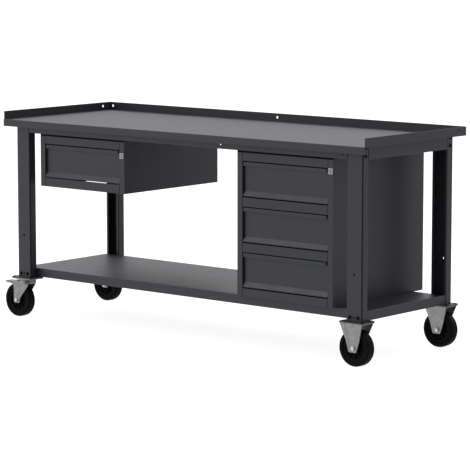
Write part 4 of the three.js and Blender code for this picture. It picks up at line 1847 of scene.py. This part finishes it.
@dataclass
class Wheel:
    """A wheel: rounded tyre, ribbed centre and axle bolt.

    Attributes:
        shop: Where pieces are finished.
        end: Front or rear.
        side: Left or right.
        ribs: Ribs on each face of the centre.
        rib_middle: Distance of a rib's middle from the axle, and from the wheel's middle plane.
        rib_size: Length and depth of a rib.
    """

    shop: Workshop
    end: End
    side: Side
    ribs: int = 10
    rib_middle: tuple[float, float] = (0.031, 0.0075)
    rib_size: tuple[float, float] = (0.029, 0.008)

    @property
    def key(self) -> str:
        """The words that end its node names."""
        return f"{self.end.label}_{self.side.label}"

    @property
    def body(self) -> str:
        """The CAD body that spins."""
        return f"wheel_{self.key}"

    def build(self) -> Pieces:
        """Makes tyre, centre, ribs and bolt.

        Returns:
            Its pieces.
        """
        tyre = Box.of(f"wheel_tyre_{self.key}")
        return [self.tyre(tyre), self.centre(tyre), self.centre_ribs(tyre), self.axle()]

    @staticmethod
    def both_faces(half: Sequence[tuple[float, float]]) -> Outline:
        """Mirrors half a profile across the wheel's middle plane.

        Args:
            half: Radius and distance from the middle, in millimetres, from the inside out.

        Returns:
            The closed profile in metres.
        """
        near = [complex(radius, along) * MM for radius, along in half]
        return near + [point.conjugate() for point in reversed(near) if point.imag > 0]

    def tyre(self, box: Box) -> bpy.types.Object:
        """The tyre with its crowned tread and grooved sides."""
        half = [(54.6, 15.8), (56.5, 18.8), (58.5, 19.7), (59.6, 18.6), (60.6, 18.6), (61.6, 19.8)]
        half += [(65, 20.3), (69, 20.3), (71.6, 19.8), (73.4, 18.4), (74.5, 16), (75, 12.5), (75, 0)]
        draft = Draft().lathe(self.both_faces(half), box.centre, Axis.Y, 72)
        node = f"wheel_tyre_{self.key}"
        return self.shop.piece(draft, f"{node}_tread", self.body, Slot.TYRE, [node])

    def centre(self, box: Box) -> bpy.types.Object:
        """The moulded centre: hub, web and rim."""
        half = [(6.6, 20.6), (13.5, 20.8), (15.8, 20), (16.8, 18), (17.4, 6.5), (19.5, 4.8), (41, 4.6)]
        half += [(44, 6), (45.3, 13), (46.6, 15.6), (52.6, 16), (54.5, 15), (54.5, 0)]
        draft = Draft().lathe(self.both_faces(half), box.centre, Axis.Y, 56)
        node = f"wheel_centre_{self.key}"
        return self.shop.piece(draft, f"{node}_moulding", self.body, Slot.WHEEL, [node])

    def centre_ribs(self, box: Box) -> bpy.types.Object:
        """Radial ribs on both faces of the web."""
        spots = []
        radius, aside = self.rib_middle
        length, depth = self.rib_size
        for i in range(self.ribs):
            angle = 2 * math.pi * (i + 0.5) / self.ribs
            outwards = Vector((math.cos(angle), 0, math.sin(angle)))
            for along in (-aside, aside):
                spots.append(Spot(box.centre + outwards * radius + Vector((0, along, 0)), outwards))
        return self.shop.rib.lay(
            self.shop, f"wheel_ribs_{self.key}", self.body, Slot.WHEEL, spots, Length=length, Depth=depth
        )

    def axle(self) -> bpy.types.Object:
        """The axle bolt: a shank between two button heads, each on its washer."""
        node = f"wheel_axle_{self.key}"
        box = Box.of(node)
        reach = (box.high.y - box.low.y) / 2
        button = [(0.2, 0), (6.2, 0), (7.6, 0.8), (8.2, 2.2), (8.2, 3.4), (9.6, 3.4), (9.6, 4.6), (5, 4.6)]
        near = [complex(radius * MM, drop * MM - reach) for radius, drop in button]
        profile = near + [point.conjugate() for point in reversed(near)]
        draft = Draft().lathe(profile, box.centre, Axis.Y, 36)
        body = "bench" if self.side is Side.RIGHT else f"swivel_{self.key}"
        return self.shop.piece(draft, f"{node}_bolt", body, Slot.ZINC, [node], bolt=True)


@dataclass
class RigidCaster:
    """A rigid fork: a plate and two creased, tapering legs.

    Attributes:
        shop: Where pieces are finished.
        end: Front or rear.
        sheet: Thickness of the fork.
        plate: Thickness of the plate.
        corner: Corner radius of the plate.
        tip: Reach of a leg to the left and right of the axle, at the tip.
        top: The same at the plate.
        low_reach: Outer face from the wheel's middle, at the axle.
        top_reach: Outer face from the wheel's middle, at the plate.
        knee: Height at which the legs start to splay.
        wing: Width of the left wing at the tip and at the plate.
        wing_set: How far the wing's edge lies behind the face at the top.
        crease: Width and depth of the crease between wing and face.
        eased: Radius of the pressing's edges.
        sunk: How deep one shell reaches into the next.
        TIP: Heights above the tip, each with the share of the leg's width there.
        BENDS: Heights between knee and plate where a leg's section is given.
    """

    shop: Workshop
    end: End
    sheet: float = 0.003
    plate: float = 0.003
    corner: float = 0.007
    tip: tuple[float, float] = (0.023, 0.015)
    top: tuple[float, float] = (0.059, 0.054)
    low_reach: float = 0.025
    top_reach: float = 0.040
    knee: float = 0.105
    wing: tuple[float, float] = (0.004, 0.029)
    wing_set: float = 0.003
    crease: tuple[float, float] = (0.0028, 0.0007)
    eased: float = 0.0006
    sunk: float = 0.0005
    TIP: ClassVar[tuple[tuple[float, float], ...]] = ((0.0, 0.90), (0.001, 0.96), (0.003, 1.0))
    BENDS: ClassVar[tuple[float, ...]] = (0.130, 0.155)

    def build(self) -> Pieces:
        """Builds plate, bridge and legs.

        Returns:
            The fork.
        """
        node = f"caster_fork_{self.end.label}_right"
        box = Box.of(node)
        under = box.high.z - self.plate
        outline = rounded_rectangle(
            complex(box.low.x, box.low.y), complex(box.high.x, box.high.y), self.corner
        )
        draft = Draft().prism(outline, Axis.Z, under, box.high.z)
        bridge_x, bridge_y = self.top[0] - self.wing[1], self.top_reach - self.sheet / 2
        draft.block(
            (box.centre.x - bridge_x, box.centre.y - bridge_y, under - self.sheet),
            (box.centre.x + bridge_x, box.centre.y + bridge_y, under + self.sunk),
        )
        for out in (-1, 1):
            draft.skin(self.leg_rings(box, under, out))
        draft.bevel(self.eased, 2)
        return [self.shop.piece(draft, f"{node}_pressing", "bench", Slot.ZINC, [node])]

    def leg_rings(self, box: Box, under: float, out: int) -> list[list[Vector]]:
        """Cross-sections of a leg from its tip to the plate.

        Args:
            box: The fork's box.
            under: Height of the plate's underside.
            out: Which way the leg stands off along Y.

        Returns:
            One ring for each height.
        """
        levels = [(box.low.z + rise, share) for rise, share in self.TIP]
        levels += [(z, 1.0) for z in (self.knee, *self.BENDS, under + self.sunk)]
        width, depth = self.crease
        rings = []
        for z, share in levels:
            climb = (z - box.low.z) / (under - box.low.z)
            splay = max(0.0, (z - self.knee) / (under - self.knee))
            reach = self.low_reach + (self.top_reach - self.low_reach) * splay
            left = self.tip[0] + (self.top[0] - self.tip[0]) * climb
            right = self.tip[1] + (self.top[1] - self.tip[1]) * climb
            wing = self.wing[0] + (self.wing[1] - self.wing[0]) * climb
            fold, set_back = wing - left * share, self.wing_set * climb
            outer = [
                (-left * share, reach - set_back), (fold - width, reach), (fold - width / 2, reach - depth),
                (fold, reach), (right * share - 0.002, reach), (right * share, reach - 0.0006),
            ]
            inner = [(x, y - self.sheet) for x, y in reversed(outer)]
            rings.append([Vector((box.centre.x + x, box.centre.y + out * y, z)) for x, y in outer + inner])
        return rings


@dataclass
class SwivelCaster:
    """A swivel caster: plate with race and kingpin, curved fork, brake pedal.

    Attributes:
        shop: Where pieces are finished.
        end: Front or rear.
        sheet: Thickness of the fork.
        reach: Outer face of each leg from the wheel's middle.
        corner: Corner radius of the plate.
        plate: Thickness of the plate.
        crown_radius: Radius of the fork's crown; not used.
        pivot: Pedal pivot behind the swivel axis.
        ear: Radius of the lug round the pedal's pivot.
        pin: Radius of the pedal's pin, and how far it stands out of the legs in all.
        pivot_drop: Depth of that pivot below the pedal's top.
        nut: Radius and height of the kingpin's nut.
        tread_half: Half width of the pedal.
        cheek: Thickness of its turned-down sides.
        eased: Radius of the pressings' edges.
    """

    shop: Workshop
    end: End
    sheet: float = 0.003
    reach: float = 0.025
    corner: float = 0.007
    plate: float = 0.004
    crown_radius: float = 0.037
    pivot: float = 0.080
    ear: float = 0.0064
    pin: tuple[float, float] = (0.0039, 0.003)
    pivot_drop: float = 0.007
    nut: tuple[float, float] = (0.0098, 0.006)
    tread_half: float = 0.017
    cheek: float = 0.0025
    eased: float = 0.0006

    @property
    def key(self) -> str:
        """The words that end its node names."""
        return f"{self.end.label}_left"

    def build(self) -> Pieces:
        """Makes plate, fork and pedal.

        Returns:
            Its pieces.
        """
        return [self.top_plate(), self.fork(), self.pedal()]

    def axis_place(self) -> Vector:
        """A point of the swivel axis, at floor level."""
        centre = Box.of(f"caster_plate_{self.key}").centre
        return Vector((centre.x, centre.y, 0.0))

    def top_plate(self) -> bpy.types.Object:
        """The mounting plate, the race under it and the kingpin with its nut."""
        node = f"caster_plate_{self.key}"
        box, place = Box.of(node), self.axis_place()
        outline = rounded_rectangle(
            complex(box.low.x, box.low.y), complex(box.high.x, box.high.y), self.corner
        )
        under = box.high.z - self.plate
        draft = Draft().prism(outline, Axis.Z, under, box.high.z).bevel(self.eased, 2)
        race = [(8, 0.3), (35, 0.3), (35.8, -0.8), (36, -2), (36, -7.2), (35.4, -7.9), (8, -7.9)]
        draft.lathe([complex(r, h) * MM for r, h in race], place + Vector((0, 0, under)), Axis.Z, 56)
        pin = [(0.4, -0.5), (5.8, -0.5), (5.8, -18.6), (4.6, -19), (0.4, -19)]
        draft.lathe([complex(r, h) * MM for r, h in pin], place + Vector((0, 0, under)), Axis.Z, 28)
        radius, tall = self.nut
        draft.bar(Vector((place.x, place.y, box.low.z + tall / 2)), Axis.Z, radius, tall, 6)
        return self.shop.piece(draft, f"{node}_pressing", "bench", Slot.ZINC, [node])

    def fork(self) -> bpy.types.Object:
        """The crown, two curved legs and the pedal's pin."""
        node = f"caster_fork_{self.key}"
        box, place = Box.of(node), self.axis_place()
        crown = [(6.6, 0), (34.8, 0), (36.3, -0.7), (36.9, -2.2), (36.9, -12), (36.4, -12.8), (34.6, -12.8)]
        crown += [(34.1, -12), (34.1, -5), (33, -4), (6.6, -4)]
        head = place + Vector((0, 0, box.high.z))
        draft = Draft().lathe([complex(r, h) * MM for r, h in crown], head, Axis.Z, 56)
        outline = moved(self.leg_outline(box), complex(place.x, 0))
        for out in (-1, 1):
            faces = sorted(place.y + out * off for off in (self.reach, self.reach - self.sheet))
            draft.prism(outline, Axis.Y, *faces)
        pivot = Vector((place.x - self.pivot, place.y, self.pivot_height()))
        radius, proud = self.pin
        draft.bar(pivot, Axis.Y, radius, 2 * self.reach + proud, 24)
        draft.bevel(self.eased, 2)
        return self.shop.piece(draft, f"{node}_pressing", f"swivel_{self.key}", Slot.ZINC, [node])

    def pivot_height(self) -> float:
        """Height of the pedal's pivot."""
        return Box.of(f"brake_pedal_{self.key}").high.z - self.pivot_drop

    def leg_outline(self, box: Box) -> Outline:
        """Side view of a leg, from the swivel axis.

        Args:
            box: The fork's box.

        Returns:
            The outline, in X and Z.
        """
        tip, top = box.low.z, box.high.z - 0.0035
        lug = complex(-self.pivot, self.pivot_height())
        ear = [lug + self.ear * cmath.exp(1j * math.radians(angle)) for angle in range(70, 291, 20)]
        outline = [
            complex(-0.058, tip), complex(-0.036, tip),
            complex(-0.031, tip + 0.002), complex(-0.0295, tip + 0.006),
            complex(-0.028, 0.078), complex(-0.022, 0.089), complex(-0.0125, 0.101), complex(-0.002, 0.113),
            complex(0.009, 0.126), complex(0.018, 0.138), complex(0.025, 0.149), complex(0.029, top),
            complex(-0.060, top),
        ]
        outline += ear
        outline += [complex(-0.066, 0.140), complex(-0.064, 0.120), complex(-0.064, tip + 0.008)]
        outline.append(complex(-0.0625, tip + 0.0025))
        return outline

    def pedal(self) -> bpy.types.Object:
        """The pedal: a tread with turned-down sides, grip bars and a tube round the pin."""
        node = f"brake_pedal_{self.key}"
        box = Box.of(node)
        pivot = Vector((self.axis_place().x - self.pivot, box.centre.y, self.pivot_height()))
        tip = box.low.x
        high = pivot.z + 0.0068
        tread = [
            complex(tip, pivot.z - 0.0015), complex(tip + 0.002, pivot.z - 0.0035),
            complex(pivot.x, high - 0.0025), complex(pivot.x, high), complex(tip + 0.004, pivot.z + 0.0005),
        ]
        draft = Draft().prism(tread, Axis.Y, pivot.y - self.tread_half, pivot.y + self.tread_half)
        cheek = [
            complex(tip + 0.003, pivot.z - 0.0022), complex(tip + 0.014, pivot.z - 0.0066),
            complex(pivot.x, pivot.z - 0.0066), complex(pivot.x, high - 0.001),
        ]
        for out in (-1, 1):
            faces = sorted(pivot.y + out * off for off in (self.tread_half, self.tread_half - self.cheek))
            draft.prism(cheek, Axis.Y, *faces)
        for share in (0.14, 0.3, 0.46):
            x = tip + (pivot.x - tip) * share
            level = pivot.z + 0.0003 + (high - pivot.z) * share
            draft.block((x, pivot.y - 0.015, level - 0.001), (x + 0.003, pivot.y + 0.015, level + 0.0012))
        bore, wall, half = 0.0046, 0.0069, 0.0213
        tube = [complex(bore, -half), complex(wall, -half), complex(wall, half), complex(bore, half)]
        draft.lathe(tube, pivot, Axis.Y, 32)
        draft.bevel(0.0005)
        return self.shop.piece(draft, f"{node}_pressing", f"pedal_{self.key}", Slot.ZINC, [node])


# ---------------------------------------------------------------------------
# Light, floor and camera
# ---------------------------------------------------------------------------


def heading(azimuth: float, elevation: float) -> Vector:
    """A direction from the object.

    Args:
        azimuth: Degrees from straight in front towards +X.
        elevation: Degrees above level.

    Returns:
        The unit vector.
    """
    bearing, height = math.radians(azimuth), math.radians(elevation)
    return Vector((
        math.sin(bearing) * math.cos(height),
        -math.cos(bearing) * math.cos(height),
        math.sin(height),
    ))


@dataclass(frozen=True)
class Card:
    """A soft-edged part of the surround, as a white card or a black flag makes it.

    Attributes:
        azimuth: Bearing of its middle in degrees.
        elevation: Height of its middle in degrees.
        reach: Angle from its middle to its edge.
        edge: Width of the soft edge in degrees.
        level: Brightness.
    """

    azimuth: float
    elevation: float
    reach: float
    edge: float
    level: float


@dataclass(frozen=True)
class Studio:
    """A pale floor, a white surround, soft lamps and the camera.

    Attributes:
        azimuth: Camera bearing in degrees, from straight in front towards +X.
        elevation: Camera height angle in degrees.
        distance: Camera to the point it looks at, in metres.
        lens: Focal length in millimetres on a 36 mm sensor.
        aim: Offset of that point from the centre of the object's box, in metres.
        floor_size: Side of the floor in metres.
        level: Brightness of the bare surround.
        seen: Brightness of the surround where the camera sees it.
        tone: Colour of the surround.
        floor_grey: Base colour of the floor.
        floor_glow: Light that the floor gives off by itself.
        cards: Cards and flags round the object.
    """

    azimuth: float = 40.15
    elevation: float = 7.64
    distance: float = 10.4
    lens: float = 187.2
    aim: tuple[float, float, float] = (0.107, -0.041, -0.030)
    floor_size: float = 60.0
    level: float = 1.05
    seen: float = 1.05
    tone: tuple[float, float, float] = (0.985, 0.99, 1.0)
    floor_grey: float = 0.26
    floor_glow: float = 0.88
    cards: tuple[Card, ...] = (
        Card(140.0, -5.0, 42.0, 20.0, 0.66),
        Card(220.0, 48.0, 30.0, 22.0, 2.8),
        Card(220.0, 2.0, 14.0, 18.0, 0.46),
        Card(40.0, -28.0, 34.0, 14.0, 0.03),
    )

    def build(self) -> None:
        """Makes the surround, the lamps, the floor and the camera."""
        self.add_surround()
        self.add_floor()
        self.add_lamps()
        self.add_camera()

    def add_surround(self) -> None:
        """A surround that is plain white to look at and lights through its cards."""
        world = bpy.data.worlds.new("surround")
        bpy.context.scene.world = world
        world.use_nodes = True
        tree = world.node_tree
        direction = tree.nodes.new("ShaderNodeTexCoord").outputs["Generated"]
        level = tree.nodes.new("ShaderNodeValue").outputs["Value"]
        level.default_value = self.level
        for card in self.cards:
            level = self.add_card(tree, direction, level, card)
        seen = tree.nodes.new("ShaderNodeLightPath").outputs["Is Camera Ray"]
        background = tree.nodes["Background"]
        background.inputs["Color"].default_value = (*self.tone, 1.0)
        tree.links.new(self.mixed(tree, seen, level, self.seen), background.inputs["Strength"])
        bpy.context.scene.view_settings.view_transform = "Standard"

    @staticmethod
    def mixed(
        tree: bpy.types.NodeTree,
        factor: bpy.types.NodeSocket,
        first: bpy.types.NodeSocket,
        second: float,
    ) -> bpy.types.NodeSocket:
        """Mixes a value with a constant.

        Args:
            tree: The node tree.
            factor: Where 1 gives the constant.
            first: The value.
            second: The constant.

        Returns:
            The mixed value.
        """
        node = tree.nodes.new("ShaderNodeMix")
        tree.links.new(factor, node.inputs[0])
        tree.links.new(first, node.inputs[2])
        node.inputs[3].default_value = second
        return node.outputs[0]

    def add_card(
        self,
        tree: bpy.types.NodeTree,
        direction: bpy.types.NodeSocket,
        level: bpy.types.NodeSocket,
        card: Card,
    ) -> bpy.types.NodeSocket:
        """Lays a card over the surround.

        Args:
            tree: The surround's node tree.
            direction: The direction looked in.
            level: Brightness so far.
            card: The card.

        Returns:
            Brightness with the card.
        """
        turn = tree.nodes.new("ShaderNodeVectorMath")
        turn.operation = "DOT_PRODUCT"
        tree.links.new(direction, turn.inputs[0])
        turn.inputs[1].default_value = heading(card.azimuth, card.elevation)
        mask = tree.nodes.new("ShaderNodeMapRange")
        mask.interpolation_type = "SMOOTHSTEP"
        mask.inputs["From Min"].default_value = math.cos(math.radians(card.reach + card.edge))
        mask.inputs["From Max"].default_value = math.cos(math.radians(card.reach))
        tree.links.new(turn.outputs["Value"], mask.inputs["Value"])
        return self.mixed(tree, mask.outputs["Result"], level, card.level)

    def add_floor(self) -> None:
        """A plain pale floor, marked as no part of the object."""
        mesh = bpy.data.meshes.new("floor")
        half = self.floor_size / 2
        corners = [(-half, -half, 0), (half, -half, 0), (half, half, 0), (-half, half, 0)]
        mesh.from_pydata(corners, [], [(0, 1, 2, 3)])
        floor = bpy.data.objects.new("floor", mesh)
        bpy.context.scene.collection.objects.link(floor)
        material = bpy.data.materials.new("floor_white")
        material.use_nodes = True
        shader = material.node_tree.nodes["Principled BSDF"]
        shader.inputs["Base Color"].default_value = (*[self.floor_grey] * 3, 1.0)
        shader.inputs["Roughness"].default_value = 0.9
        shader.inputs["Specular IOR Level"].default_value = 0.0
        shader.inputs["Emission Color"].default_value = (1.0, 1.0, 1.0, 1.0)
        shader.inputs["Emission Strength"].default_value = self.floor_glow
        mesh.materials.append(material)
        floor.visible_glossy = False
        floor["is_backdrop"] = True

    def lamp(self, name: str, place: Sequence[float], size: float, power: float) -> None:
        """Adds a square lamp aimed at the object.

        Args:
            name: The lamp's name.
            place: Where it stands, in metres.
            size: Side in metres.
            power: Watts.
        """
        data = bpy.data.lights.new(name, "AREA")
        data.shape = "SQUARE"
        data.size = size
        data.energy = power
        lamp = bpy.data.objects.new(name, data)
        lamp.location = place
        towards = Vector((0.0, 0.0, 0.5)) - lamp.location
        lamp.rotation_mode = "QUATERNION"
        lamp.rotation_quaternion = towards.to_track_quat("-Z", "Y")
        bpy.context.scene.collection.objects.link(lamp)

    def add_lamps(self) -> None:
        """A key from the front left and a fill from the back right."""
        self.lamp("key", (-4.0, -5.0, 4.0), 3.0, 60.0)
        self.lamp("fill", (6.0, 2.0, 3.0), 3.0, 10.0)

    def add_camera(self) -> None:
        """The camera, aimed by its bearing at a point near the middle of the object."""
        low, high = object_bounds()
        target = (low + high) / 2 + Vector(self.aim)
        data = bpy.data.cameras.new("camera")
        data.lens = self.lens
        data.sensor_width = 36.0
        data.clip_end = 200.0
        camera = bpy.data.objects.new("camera", data)
        camera.location = target + heading(self.azimuth, self.elevation) * self.distance
        camera.rotation_euler = (math.radians(90.0 - self.elevation), 0.0, math.radians(self.azimuth))
        bpy.context.scene.collection.objects.link(camera)
        bpy.context.scene.camera = camera


class Assembly(Protocol):
    """A sub-assembly that can build its pieces."""

    def build(self) -> Pieces:
        """Builds the pieces."""


def parts(shop: Workshop) -> list[Assembly]:
    """Every sub-assembly, in the order it is built.

    Args:
        shop: Where pieces are finished.

    Returns:
        The sub-assemblies.
    """
    listed: list[Assembly] = [Worktop(shop), Legs(shop), Rails(shop), Shelf(shop)]
    listed.append(DrawerHousing(shop, "single_shell", (DrawerKey.SINGLE,)))
    listed.append(DrawerHousing(shop, "cabinet_shell", (DrawerKey.UPPER, DrawerKey.MIDDLE, DrawerKey.LOWER)))
    listed += [Drawer(shop, key) for key in DrawerKey]
    listed += [Lock(shop, key) for key in ("single", "cabinet")]
    for end in End:
        listed += [SwivelCaster(shop, end), RigidCaster(shop, end)]
        listed += [Wheel(shop, end, side) for side in Side]
    return listed


def main() -> None:
    """Builds the finishes, the sub-assemblies and the studio."""
    logging.basicConfig(level=logging.INFO, format="%(name)s: %(message)s")
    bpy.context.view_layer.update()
    palette = Palette()
    palette.dress_frame()
    for part in parts(Workshop(palette)):
        for piece in part.build():
            LOG.info("%s: %s, %d faces", type(part).__name__, piece.name, len(piece.data.polygons))
    Studio().build()


if __name__ == "__main__":
    main()
